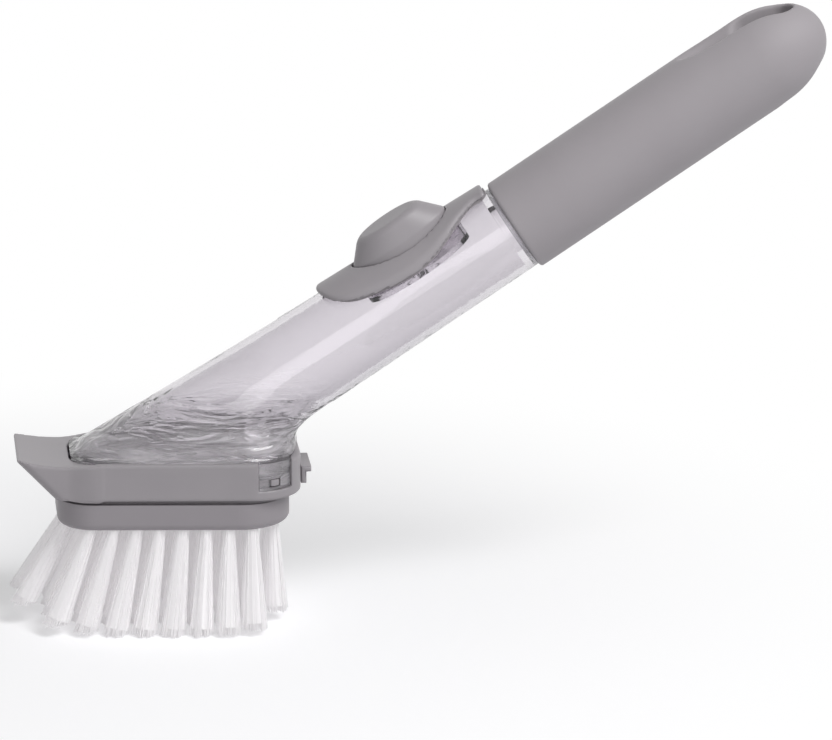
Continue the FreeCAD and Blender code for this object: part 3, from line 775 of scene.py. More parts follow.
def dress(piece: Object, finish: Finish, part: Part, node: str) -> None:
    """Gives a piece its finish and its body, and hides the solid that it stands for.

    Args:
        piece: The piece, in place.
        finish: Its finish.
        part: Body that it rides on.
        node: Solid that it replaces.
    """
    coat(piece, finish)
    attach(piece, part.value)
    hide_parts(node)
    log.info("%s: %d faces on %s", piece.name, len(piece.data.polygons), part.value)


def dress_nodes(finish: Finish, *nodes: str) -> None:
    """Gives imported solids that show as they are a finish.

    Args:
        finish: The finish.
        nodes: Names of the solids.
    """
    for node in nodes:
        coat(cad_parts[node], finish)
        log.info("%s: packed solid in %s", node, finish.name)


def apply_modifiers(piece: Object) -> None:
    """Turns a piece's modifiers into plain mesh.

    Args:
        piece: The piece.
    """
    graph = bpy.context.evaluated_depsgraph_get()
    mesh = bpy.data.meshes.new_from_object(piece.evaluated_get(graph), depsgraph=graph)
    piece.modifiers.clear()
    piece.data = mesh


def grid_quads(rings: int, sides: int) -> Array:
    """Joins rings of points, the last ring to the first, into a closed skin.

    Args:
        rings: Number of rings.
        sides: Number of points in each ring.

    Returns:
        Quads as rows of four point numbers.
    """
    ring, side = np.meshgrid(np.arange(rings), np.arange(sides), indexing="ij")
    ring, side = ring.ravel(), side.ravel()
    next_ring, next_side = (ring + 1) % rings, (side + 1) % sides
    corners = ((ring, side), (ring, next_side), (next_ring, next_side), (next_ring, side))
    return np.stack([r * sides + s for r, s in corners], axis=1)


# Growing pieces with geometry nodes


def start_growth(name: str, sizes: dict[str, Any]) -> tuple[Wiring, bpy_prop_collection]:
    """Starts a geometry tree that has a named input for each size.

    Args:
        name: Name of the tree.
        sizes: Values of the inputs by name; what they are gives the kind of each input.

    Returns:
        The tree's nodes and the sockets of its inputs.
    """
    tree = bpy.data.node_groups.new(name, "GeometryNodeTree")
    for side in ("INPUT", "OUTPUT"):
        tree.interface.new_socket("Geometry", in_out=side, socket_type="NodeSocketGeometry")
    for size, value in sizes.items():
        tree.interface.new_socket(size, in_out="INPUT", socket_type=SOCKETS[type(value)])
    wiring = Wiring(tree)
    return wiring, wiring.add("NodeGroupInput").outputs


def end_growth(wiring: Wiring, shape: Node, material: NodeSocket) -> None:
    """Ends a geometry tree with real, smooth faces in their material.

    Args:
        wiring: The tree's nodes.
        shape: Node that gives the shape.
        material: Socket of the input for the material.
    """
    real = wiring.add("GeometryNodeRealizeInstances", {"Geometry": shape})
    smooth = wiring.add("GeometryNodeSetShadeSmooth", {"Geometry": real})
    done = wiring.add("GeometryNodeSetMaterial", {"Geometry": smooth, "Material": material})
    wiring.add("NodeGroupOutput", {"Geometry": done})


def grown(
    name: str, seeds: Mesh, tree: NodeTree, sizes: dict[str, Any]
) -> Object:
    """Runs a node tree on a mesh and keeps the result as a plain mesh.

    Args:
        name: Name of the piece.
        seeds: Mesh that the tree starts from.
        tree: The node tree.
        sizes: Values of the tree's named inputs.

    Returns:
        The piece.
    """
    piece = put(name, seeds)
    modifier = piece.modifiers.new("grow", "NODES")
    modifier.node_group = tree
    for socket in tree.interface.items_tree:
        if socket.in_out == "INPUT" and socket.name in sizes:
            modifier[socket.identifier] = sizes[socket.name]
    apply_modifiers(piece)
    return piece


# Sub-assemblies


@dataclass(frozen=True)
class WandAxis:
    """The sloping axis that tube, button and handle share.

    Attributes:
        tilt: Slope of the axis in degrees.
        junction_x: Where tube and handle meet, in millimetres.
        junction_z: Height of that place.
    """

    tilt: float = 33.5
    junction_x: float = 105.4
    junction_z: float = 111.45

    def place(self) -> Matrix:
        """Turns the wand's own frame, x along the axis and z towards the button, into the row frame."""
        turn = Matrix.Rotation(-math.radians(self.tilt), 4, "Y")
        return Matrix.Translation((self.junction_x * MM, 0.0, self.junction_z * MM)) @ turn

    def points(self, own: Array) -> Array:
        """Moves points from the wand's own frame in millimetres to the row frame in metres.

        Args:
            own: Points as rows.

        Returns:
            The moved points.
        """
        place = np.array(self.place())
        return (own * MM) @ place[:3, :3].T + place[:3, 3]


AXIS = WandAxis()


@dataclass
class Grip:
    """Soft sleeve of the handle with its hanging slot, and the hard core inside.

    Sizes are in millimetres, x along the wand's axis from the junction.
    """

    mouth: float = 1.3
    end: float = 106.6
    radius: float = 14.1
    nose: float = 20.0
    mouth_edge: float = 0.9
    bore: float = 11.5
    bore_end: float = 63.2
    slot_start: float = 82.6
    slot_end: float = 102.1
    slot_width: float = 10.5
    slot_rim: float = 1.2
    scoop_centre: float = 82.0
    scoop_rise: float = 14.6
    scoop_half_length: float = 15.0
    scoop_half_width: float = 4.9
    scoop_depth: float = 5.0
    scoop_rim: float = 1.6
    mesher: ClassVar[FieldMesher] = FieldMesher(cell=0.6)

    def field(self, x: Array, y: Array, z: Array) -> Array:
        """Field of the sleeve in the wand's own frame.

        Args:
            x: Distances along the axis.
            y: Distances across.
            z: Distances towards the button.

        Returns:
            The field's values.
        """
        across = np.hypot(y, z)
        past = np.maximum(x - (self.end - self.nose), 0.0)
        body = ellipsoid((past, across), (self.nose, self.radius))
        body = rounded_max(body, self.mouth - x, self.mouth_edge)
        scoop = ellipsoid(
            (x - self.scoop_centre, y, z - self.scoop_rise),
            (self.scoop_half_length, self.scoop_half_width, self.scoop_depth),
        )
        body = rounded_max(body, -scoop, self.scoop_rim)
        half_width = self.slot_width / 2
        middle = (self.slot_start + self.slot_end) / 2
        straight = (self.slot_end - self.slot_start) / 2 - half_width
        slot = np.hypot(np.maximum(np.abs(x - middle) - straight, 0.0), y) - half_width
        body = rounded_max(body, -slot, self.slot_rim)
        hollow = np.maximum(across - self.bore, x - self.bore_end)
        return np.maximum(body, -hollow)

    def build(self) -> None:
        """Makes the sleeve and dresses the core."""
        low = (self.mouth, -self.radius, -self.radius)
        high = (self.end, self.radius, self.radius)
        points, quads = self.mesher.net(self.field, low, high)
        sleeve = new_piece("grip_cover", AXIS.points(points), quads, Shading.FLOWING)
        dress(sleeve, GRIP_RUBBER, Part.HANDLE, "grip_sleeve")
        dress_nodes(GREY_PLASTIC, "handle_core")
        dress_nodes(CLEAR_SILICONE, "neck_gasket")


@dataclass
class PushButton:
    """Oval crown that is pressed, its leaf-shaped brim on the tube, and the pump under it.

    Sizes are in millimetres in the wand's own frame.
    """

    centre: float = -27.8
    crown_top: float = 22.7
    brim_level: float = 16.4
    skirt_low: float = 12.2
    base_half: tuple[float, float] = (15.5, 8.2)
    flat_half: tuple[float, float] = (9.9, 6.6)
    crown_edge: float = 1.5
    crown_wall: float = 1.5
    post_radius: float = 2.0
    post_low: float = 9.5
    post_sink: float = 1.0
    leaf_front: float = -55.8
    leaf_rear: float = -0.4
    leaf_half_width: float = 12.8
    brim_low: float = 0.9
    brim_high: float = 2.2
    brim_edge: float = 0.9
    hole_edge: float = 0.25
    run_gap: float = 0.3
    tube_radii: tuple[float, float] = (13.1, 14.4)
    tube_length: float = 69.8
    tube_belly: float = 13.0
    cup_floor: float = 6.2
    spring_radius: float = 3.0
    spring_wire: float = 0.4
    spring_turns: float = 5.0
    spring_steps: int = 40
    wire_sides: int = 12
    play: float = 0.1
    bellows_radius: float = 4.55
    bellows_fold: float = 0.45
    bellows_wall: float = 0.6
    bellows_folds: int = 4
    fold_rings: int = 16
    bellows_sides: int = 48
    travel: float = 3.0
    crown_mesher: ClassVar[FieldMesher] = FieldMesher(cell=0.4)
    brim_mesher: ClassVar[FieldMesher] = FieldMesher(cell=0.42)
    leaf_shares: ClassVar[tuple[tuple[float, float], ...]] = (
        (0.0, 0.0),
        (0.025, 0.5),
        (0.09, 0.79),
        (0.23, 0.94),
        (0.42, 1.0),
        (0.58, 0.96),
        (0.72, 0.8),
        (0.84, 0.55),
        (0.94, 0.38),
        (1.0, 0.34),
    )
    leaf_steps: ClassVar[int] = 6

    def leaf(self) -> Array:
        """Leaf outline of the brim as a closed row of points.

        Returns:
            Points as rows of x and y.
        """
        length = self.leaf_rear - self.leaf_front
        side = [(self.leaf_front + length * a, self.leaf_half_width * b) for a, b in self.leaf_shares]
        knots = np.array(side + [(x, -y) for x, y in reversed(side[1:])])
        before, after, second = (np.roll(knots, k, axis=0) for k in (1, -1, -2))
        points = []
        for step in range(self.leaf_steps):
            t = step / self.leaf_steps
            bend = (2 * before - 5 * knots + 4 * after - second) * t**2
            turn = (3 * knots - before - 3 * after + second) * t**3
            points.append(0.5 * (2 * knots + (after - before) * t + bend + turn))
        return np.stack(points, axis=1).reshape(-1, 2)

    def above_tube(self, x: Array, y: Array, z: Array) -> Array:
        """Height above the tube's outside."""
        radius = self.tube_radii[0] + (self.tube_radii[1] - self.tube_radii[0]) * -x / self.tube_length
        return np.hypot(y, z - (radius - self.tube_belly)) - radius

    def brim_field(self, x: Array, y: Array, z: Array) -> Array:
        """Field of the brim.

        Args:
            x: Distances along the axis.
            y: Distances across.
            z: Distances towards the button.

        Returns:
            The field's values.
        """
        rise = self.above_tube(x, y, z)
        leaf = outline_distance(self.leaf(), x, y)
        layer = rounded_max(leaf, rise - self.brim_high, self.brim_edge)
        layer = np.maximum(layer, np.maximum(self.brim_low - rise, -z))
        layer = np.maximum(layer, x - self.leaf_rear)
        half = (self.base_half[0] + self.run_gap, self.base_half[1] + self.run_gap)
        hole = ellipsoid((x - self.centre, y), half)
        return rounded_max(layer, -hole, self.hole_edge)

    def crown_field(self, x: Array, y: Array, z: Array) -> Array:
        """Field of the crown: a hollow hat with a post in its middle.

        Args:
            x: Distances along the axis.
            y: Distances across.
            z: Distances towards the button.

        Returns:
            The field's values.
        """
        share = np.clip((z - self.brim_level) / (self.crown_top - self.brim_level), 0.0, 1.0)
        half = [base + (flat - base) * share for base, flat in zip(self.base_half, self.flat_half)]
        side = ellipsoid((x - self.centre, y), half)
        hat = rounded_max(side, z - self.crown_top, self.crown_edge)
        shell = np.maximum(hat, -(hat + self.crown_wall))
        across = np.hypot(x - self.centre, y)
        post = np.maximum(across - self.post_radius, z - self.crown_top + self.post_sink)
        return np.minimum(np.maximum(shell, self.skirt_low - z), np.maximum(post, self.post_low - z))

    def spring_tree(self, sizes: dict[str, Any]) -> NodeTree:
        """Node tree that winds a wire between two levels.

        Args:
            sizes: Values of the tree's inputs.

        Returns:
            The tree.
        """
        wiring, taken = start_growth("return_spring_coil", sizes)
        path = wiring.add(
            "GeometryNodeCurveSpiral",
            {
                "Resolution": self.spring_steps,
                "Rotations": taken["Turns"],
                "Start Radius": taken["Radius"],
                "End Radius": taken["Radius"],
                "Height": taken["Height"],
            },
        )
        section = wiring.add(
            "GeometryNodeCurvePrimitiveCircle", {"Resolution": self.wire_sides, "Radius": taken["Wire"]}
        )
        wire = wiring.add(
            "GeometryNodeCurveToMesh", {"Curve": path, "Profile Curve": section, "Fill Caps": True}
        )
        end_growth(wiring, wire, taken["Material"])
        return wiring.tree

    def build_spring(self) -> Object:
        """Winds the return spring.

        Returns:
            The spring, in place.
        """
        low = self.cup_floor + self.spring_wire + self.play
        high = self.crown_top - self.crown_wall - self.spring_wire - self.play
        sizes = {
            "Turns": self.spring_turns,
            "Radius": self.spring_radius * MM,
            "Height": (high - low) * MM,
            "Wire": self.spring_wire * MM,
            "Material": SPRING_STEEL.material(),
        }
        seeds = bpy.data.meshes.new("button_spring")
        spring = grown("button_spring", seeds, self.spring_tree(sizes), sizes)
        spring.data.transform(AXIS.place() @ Matrix.Translation((self.centre * MM, 0.0, low * MM)))
        return spring

    def build_bellows(self) -> Object:
        """Turns the folded sleeve round the spring.

        Returns:
            The sleeve, in place.
        """
        low = self.cup_floor
        high = self.crown_top - self.crown_wall - self.play
        sides = self.bellows_sides
        level = np.linspace(low, high, self.fold_rings * self.bellows_folds + 1)
        wave = self.bellows_fold * np.cos(2 * math.pi * self.bellows_folds * (level - low) / (high - low))
        outer = np.stack([self.bellows_radius + wave, level], axis=1)
        inner = np.stack([outer[::-1, 0] - self.bellows_wall, level[::-1]], axis=1)
        profile = np.concatenate([outer, inner])
        angle = 2 * math.pi * np.arange(sides) / sides
        x = self.centre + np.outer(profile[:, 0], np.cos(angle))
        y = np.outer(profile[:, 0], np.sin(angle))
        z = np.repeat(profile[:, 1:], sides, axis=1)
        points = np.stack([x, y, z], axis=-1).reshape(-1, 3)
        quads = grid_quads(len(profile), sides)
        return new_piece("button_bellows", AXIS.points(points), quads, Shading.FLOWING)

    def build(self) -> None:
        """Makes the crown, the brim and what moves under them."""
        reach = self.base_half
        low = (self.centre - reach[0], -reach[1], self.post_low)
        high = (self.centre + reach[0], reach[1], self.crown_top)
        points, quads = self.crown_mesher.net(self.crown_field, low, high)
        crown = new_piece("button_crown", AXIS.points(points), quads, Shading.MOULDED)
        dress(crown, GREY_PLASTIC, Part.BUTTON, "button_cap")
        low = (self.leaf_front, -self.leaf_half_width, 0.0)
        high = (self.leaf_rear, self.leaf_half_width, 2 * self.tube_radii[1])
        points, quads = self.brim_mesher.net(self.brim_field, low, high)
        brim = new_piece("button_brim", AXIS.points(points), quads, Shading.MOULDED)
        dress(brim, GREY_PLASTIC, Part.WAND, "button_bezel")
        for piece, finish, node in (
            (self.build_spring(), SPRING_STEEL, "return_spring"),
            (self.build_bellows(), CLEAR_SILICONE, "pump_bellows"),
        ):
            dress(piece, finish, Part.WAND, node)
            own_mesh(piece)
        dress_nodes(SEAL_RUBBER, "button_seat")
        dress_nodes(CLEAR_STYRENE, "pump_cup")


@dataclass
class Head:
    """Grey frame with its boat-like scraper, the clear reservoir over it, and the release latch.

    Sizes are in millimetres in the row frame.
    """

    front: float = -26.5
    heel: float = 44.0
    front_half: float = 17.0
    heel_half: float = 23.5
    front_corner: float = 12.0
    heel_corner: float = 15.0
    low: float = 38.6
    top: float = 49.5
    wall: float = 2.2
    web_low: float = 42.6
    web_top: float = 44.5
    outer_edge: float = 0.7
    tip: float = -37.3
    tip_half: float = 15.0
    tip_edge: float = 49.8
    tip_top: float = 51.2
    prow_keel: float = 2.5
    prow_root: float = -14.5
    prow_fillet: float = 2.0
    dish_radius: float = 50.0
    dish_centre: float = -23.0
    dish_low: float = 48.6
    dish_edge: float = 0.6
    base_front: float = -24.3
    notch: tuple[float, float] = (31.0, 40.5)
    notch_low: float = 41.4
    catch: tuple[float, float] = (34.4, 37.0)
    catch_inset: float = 0.4
    catch_root: float = 0.5
    latch_slot: tuple[float, float] = (39.5, 42.3)
    latch_half: float = 5.3
    slot_break: float = 0.3
    latch_bevel: float = 0.7
    latch_steps: int = 3
    outlet_x: float = 12.0
    outlet_radius: float = 3.3
    mesher: ClassVar[FieldMesher] = FieldMesher(cell=0.5)

    def plan(self, x: Array, y: Array, front: float) -> Array:
        """Distance to the rounded shield that the head has from above.

        Args:
            x: Distances along the head.
            y: Distances across it.
            front: Where the shield starts.

        Returns:
            The field's values.
        """
        slope = (self.heel_half - self.front_half) / (self.heel - self.front)
        side = (np.abs(y) - self.front_half - slope * (x - self.front)) / math.hypot(1.0, slope)
        shield = rounded_max(side, front - x, self.front_corner)
        return rounded_max(shield, x - self.heel, self.heel_corner)

    def prow(self, x: Array, y: Array, z: Array) -> Array:
        """Field of the scraper's solid prow.

        Args:
            x: Distances along the head.
            y: Distances across it.
            z: Heights.

        Returns:
            The field's values.
        """
        run, rise = self.front - self.tip, self.tip_edge - self.low
        under = -((x - self.front) * rise + (z - self.low) * run) / math.hypot(run, rise)
        widening = (self.front_half - self.tip_half) / (self.prow_root - self.tip)
        side = np.abs(y) - self.tip_half - widening * (x - self.tip)
        hull = rounded_max(side, under, self.prow_keel)
        ends = np.maximum(slab(x, self.tip, self.prow_root), slab(z, self.low, self.tip_top))
        return np.maximum(hull, ends)

    def frame_field(self, x: Array, y: Array, z: Array) -> Array:
        """Field of the frame with its scraper.

        Args:
            x: Distances along the head.
            y: Distances across it.
            z: Heights.

        Returns:
            The field's values.
        """
        shield = self.plan(x, y, self.front)
        inner = shield + self.wall
        rim = rounded_max(shield, z - self.top, self.outer_edge)
        rim = rounded_max(rim, self.low - z, self.outer_edge)
        solid = rounded_min(rim, self.prow(x, y, z), self.prow_fillet)
        dish = np.hypot(x - self.dish_centre, z - self.dish_low - self.dish_radius) - self.dish_radius
        solid = rounded_max(solid, -dish, self.dish_edge)
        recess = self.plan(x, y, self.base_front) + self.wall
        solid = np.maximum(solid, -np.maximum(recess, self.web_top - z))
        solid = np.maximum(solid, -np.maximum(inner, z - self.web_low))
        notch = np.maximum(np.maximum(slab(x, *self.notch), self.notch_low - z), -inner)
        solid = np.maximum(solid, -notch)
        slot = np.maximum(slab(z, *self.latch_slot), np.abs(y) - self.latch_half)
        solid = np.maximum(solid, -np.maximum(slot, self.heel - self.wall - self.slot_break - x))
        band = np.maximum(slab(z, self.web_low, self.web_top), shield + self.catch_inset)
        catch = np.maximum(np.maximum(slab(x, *self.catch), band), -inner - self.catch_root)
        outlet = np.hypot(x - self.outlet_x, y) - self.outlet_radius
        return np.maximum(np.minimum(solid, catch), -outlet)

    def build_latch(self) -> Object:
        """Bevels the release latch.

        Returns:
            The latch, in place.
        """
        latch = merged_copy("release_latch", "latch_tab", Shading.MOULDED)
        bevel = latch.modifiers.new("edges", "BEVEL")
        bevel.width = self.latch_bevel * MM
        bevel.segments = self.latch_steps
        bevel.limit_method = "ANGLE"
        apply_modifiers(latch)
        return latch

    def build(self) -> None:
        """Makes the frame and the latch and dresses what the head holds."""
        low = (self.tip, -self.heel_half, self.low)
        high = (self.heel, self.heel_half, self.tip_top)
        points, quads = self.mesher.net(self.frame_field, low, high)
        rim = new_piece("scraper_body", points * MM, quads, Shading.MOULDED)
        dress(rim, GREY_PLASTIC, Part.WAND, "scraper_frame")
        dress(self.build_latch(), GREY_PLASTIC, Part.LATCH, "release_latch")
        shell = merged_copy("reservoir_shell", "clear_reservoir", Shading.MOULDED)
        dress(shell, CLEAR_STYRENE, Part.WAND, "reservoir_shell")
        dress_nodes(CLEAR_SILICONE, "head_seal", "outlet_valve")
        dress_nodes(GREY_PLASTIC, "valve_retainer")


@dataclass
class BrushHead:
    """Pull-off refill: plate, block and tufts of nylon filaments.

    Sizes are in millimetres in the row frame.
    """

    head: Head
    block_low: float = 29.5
    block_inset: float = 0.6
    block_heel: float = 41.4
    tuft_margin: float = 3.4
    heel_margin: float = 5.0
    tuft_columns: int = 10
    tuft_row_pitch: float = 6.6
    tuft_radius: float = 1.5
    tip_radius: float = 3.5
    root_depth: float = 1.0
    front_fan: float = 14.0
    heel_fan: float = 0.5
    lean_power: float = 1.4
    tip_flat: float = 8.0
    tip_reach: float = 28.0
    front_rise: float = 6.0
    heel_rise: float = 2.5
    side_fan: float = 0.45
    hole_radius: float = 2.4
    filaments: int = 190
    filament_radius: float = 0.15
    filament_sides: int = 3
    path_points: int = 4
    tip_scatter: float = 0.7
    scatter_box: tuple[Point, Point] = ((-0.6, -0.6, 0.05), (0.6, 0.6, 1.0))
    packed_share: float = 0.93
    packed_reach: float = 0.94
    packed_sides: int = 18
    support_columns: tuple[int, ...] = (1, 4, 8, 9)
    seed: ClassVar[int] = 7

    def span(self) -> tuple[float, float]:
        """Where the first and the last column of tufts stand."""
        front = self.head.front + self.block_inset + self.tuft_margin
        return front, self.block_heel - self.block_inset - self.heel_margin

    def tip(self, x: float, y: float) -> Point:
        """Middle of the tip of the tuft that is rooted at a place.

        Args:
            x: Place of the root along the block.
            y: Place of the root across the block.

        Returns:
            The tip; tips lean outwards and rise at both ends of the brush.
        """
        first, last = self.span()
        share = (last - x) / (last - first)
        tip_x = x + self.heel_fan - self.front_fan * max(0.0, share) ** self.lean_power
        height = self.front_rise if tip_x < 0.0 else self.heel_rise
        rise = height * (max(0.0, abs(tip_x) - self.tip_flat) / self.tip_reach) ** 2
        return tip_x, y * (1.0 + self.side_fan), rise

    def tufts(self, supporting: bool) -> list[tuple[float, float]]:
        """Roots of the tufts that carry the part, or of the others.

        Args:
            supporting: Whether the tufts wanted are the ones that carry the part.

        Returns:
            Places as x and y.
        """
        head = self.head
        edge = self.block_inset + self.tuft_margin
        first, last = self.span()
        places = []
        for column in range(self.tuft_columns):
            x = first + (last - first) * column / (self.tuft_columns - 1)
            share = (x - head.front) / (self.block_heel - head.front)
            half = head.front_half + (head.heel_half - head.front_half) * share - edge
            corners = ((head.front_corner - edge, x - first), (head.heel_corner - edge, last - x))
            for corner, inward in corners:
                short = min(corner, max(0.0, corner - inward))
                half -= corner - math.sqrt(corner * corner - short * short)
            rows = 1 + math.floor(2 * half / self.tuft_row_pitch)
            for row in range(rows):
                y = half * (2 * row / (rows - 1) - 1) if rows > 1 else 0.0
                carries = row in (0, rows - 1) and column in self.support_columns
                clear = math.hypot(x - head.outlet_x, y) > self.hole_radius + 2 * self.tuft_radius
                if clear and carries == supporting:
                    places.append((x, y))
        return places

    def seeds(self, name: str, supporting: bool) -> Mesh:
        """Mesh with one point at each tuft's root and the middle of its tip as an attribute.

        Args:
            name: Name of the mesh.
            supporting: Whether the tufts are the ones that carry the part.

        Returns:
            The mesh.
        """
        places = self.tufts(supporting)
        level = self.block_low + self.root_depth
        mesh = bpy.data.meshes.new(name)
        mesh.from_pydata([(x * MM, y * MM, level * MM) for x, y in places], [], [])
        tips = np.array([self.tip(x, y) for x, y in places], np.float32) * MM
        tip = mesh.attributes.new("tip", "FLOAT_VECTOR", "POINT")
        tip.data.foreach_set("vector", tips.ravel())
        return mesh

    def tuft_tree(self, sizes: dict[str, Any]) -> NodeTree:
        """Node tree that grows a fan of filaments round a packed middle from each root to its tip.

        Args:
            sizes: Values of the tree's inputs.

        Returns:
            The tree.
        """
        wiring, taken = start_growth("bristle_tufts_grown", sizes)
        tip = wiring.add("GeometryNodeInputNamedAttribute", {"Name": "tip"}, data_type="FLOAT_VECTOR")
        middle = wiring.add("GeometryNodeInputPosition")
        root, end = self.filament_ends(wiring, taken, middle, tip)
        roots = taken["Geometry"]
        amount = {"Geometry": roots, "Amount": taken["Filaments"]}
        many = wiring.add("GeometryNodeDuplicateElements", amount, domain="POINT")
        share = wiring.add("GeometryNodeSplineParameter")
        thin = {"Resolution": self.filament_sides, "Radius": taken["Filament Radius"]}
        hairs = self.swept(wiring, many, (root, end), share, thin)
        # The middle of a tuft, where filaments are too close to tell apart, is a cone short of the tips
        way = wiring.add("ShaderNodeMath", {0: share, 1: taken["Packed Reach"]}, operation="MULTIPLY")
        radii = {"To Min": taken["Root Radius"], "To Max": taken["Tip Radius"]}
        width = wiring.add("ShaderNodeMapRange", {"Value": way} | radii)
        packed = wiring.add("ShaderNodeMath", {0: width, 1: taken["Packed Share"]}, operation="MULTIPLY")
        wide = {"Resolution": self.packed_sides, "Radius": 1.0}
        cones = self.swept(wiring, roots, (middle, tip), way, wide, {"Scale": packed})
        tufts = wiring.add("GeometryNodeJoinGeometry", {"Geometry": cones})
        wiring.feed(tufts, {"Geometry": hairs})
        end_growth(wiring, tufts, taken["Material"])
        return wiring.tree

    def filament_ends(
        self,
        wiring: Wiring,
        taken: bpy_prop_collection,
        middle: Node,
        tip: Node,
    ) -> tuple[Node, Node]:
        """Spreads the filaments of a tuft over its root and, wider and a little unevenly, over its tip.

        Args:
            wiring: The tree's nodes.
            taken: Sockets of its inputs.
            middle: Middle of the root.
            tip: Middle of the tip.

        Returns:
            Root and end of each filament.
        """
        seeds = [
            wiring.add("FunctionNodeIntegerMath", {0: taken["Seed"], 1: step}, operation="ADD")
            for step in range(3)
        ]
        angle, area = (
            wiring.add("FunctionNodeRandomValue", {"Max": most, "Seed": seed}, data_type="FLOAT")
            for most, seed in zip((2 * math.pi, 1.0), seeds)
        )
        low, high = self.scatter_box
        stray = wiring.add(
            "FunctionNodeRandomValue", {0: low, 1: high, "Seed": seeds[2]}, data_type="FLOAT_VECTOR"
        )
        reach = wiring.add("ShaderNodeMath", {0: area}, operation="SQRT")
        x, y = (wiring.add("ShaderNodeMath", {0: angle}, operation=turn) for turn in ("COSINE", "SINE"))
        ring = wiring.add("ShaderNodeCombineXYZ", {"X": x, "Y": y})
        spot = wiring.add("ShaderNodeVectorMath", {0: ring, "Scale": reach}, operation="SCALE")
        ends = {"root": middle, "end": tip}
        for name, offset, size in (
            ("root", spot, "Root Radius"),
            ("end", spot, "Tip Radius"),
            ("end", stray, "Tip Scatter"),
        ):
            scaled = wiring.add("ShaderNodeVectorMath", {0: offset, "Scale": taken[size]}, operation="SCALE")
            ends[name] = wiring.add("ShaderNodeVectorMath", {0: ends[name], 1: scaled}, operation="ADD")
        return ends["root"], ends["end"]

    def swept(
        self,
        wiring: Wiring,
        points: Any,
        ends: tuple[Node, Node],
        way: Node,
        section: Inputs,
        sweep: Inputs | None = None,
    ) -> Node:
        """Sweeps a round section from each point's root towards its end.

        Args:
            wiring: The tree's nodes.
            points: The points.
            ends: Root and end of each path, found on the points.
            way: Share of the way from root to end along a path.
            section: Inputs of the section's circle.
            sweep: More inputs of the sweep.

        Returns:
            The swept shapes.
        """
        names = ("root", "end")
        for name, place in zip(names, ends):
            points = wiring.add(
                "GeometryNodeStoreNamedAttribute",
                {"Geometry": points, "Name": name, "Value": place},
                data_type="FLOAT_VECTOR",
                domain="POINT",
            )
        line = wiring.add("GeometryNodeCurvePrimitiveLine")
        path = wiring.add("GeometryNodeResampleCurve", {"Curve": line, "Count": self.path_points})
        paths = wiring.add("GeometryNodeInstanceOnPoints", {"Points": points, "Instance": path})
        real = wiring.add("GeometryNodeRealizeInstances", {"Geometry": paths})
        root, end = (
            wiring.add("GeometryNodeInputNamedAttribute", {"Name": name}, data_type="FLOAT_VECTOR")
            for name in names
        )
        spot = wiring.add("ShaderNodeMix", {"Factor": way, "A": root, "B": end}, data_type="VECTOR")
        placed = wiring.add("GeometryNodeSetPosition", {"Geometry": real, "Position": spot})
        circle = wiring.add("GeometryNodeCurvePrimitiveCircle", section)
        inputs = {"Curve": placed, "Profile Curve": circle, "Fill Caps": True} | (sweep or {})
        return wiring.add("GeometryNodeCurveToMesh", inputs)

    def build(self) -> None:
        """Grows the tufts and dresses the block and the plate."""
        sizes = {
            "Filaments": self.filaments,
            "Root Radius": self.tuft_radius * MM,
            "Tip Radius": self.tip_radius * MM,
            "Filament Radius": self.filament_radius * MM,
            "Tip Scatter": self.tip_scatter * MM,
            "Packed Share": self.packed_share,
            "Packed Reach": self.packed_reach,
            "Seed": self.seed,
            "Material": WHITE_NYLON.material(),
        }
        tree = self.tuft_tree(sizes)
        for name, supporting, node in (
            ("bristle_filaments", False, "bristle_tufts"),
            ("support_filaments", True, "support_tufts"),
        ):
            hairs = grown(name, self.seeds(name, supporting), tree, sizes)
            dress(hairs, WHITE_NYLON, Part.BRUSH_HEAD, node)
        dress_nodes(BLOCK_PLASTIC, "brush_block", "snap_plate")
        dress_nodes(CLEAR_SILICONE, "outlet_gasket")
        dress_nodes(SPRING_STEEL, "tuft_anchors")


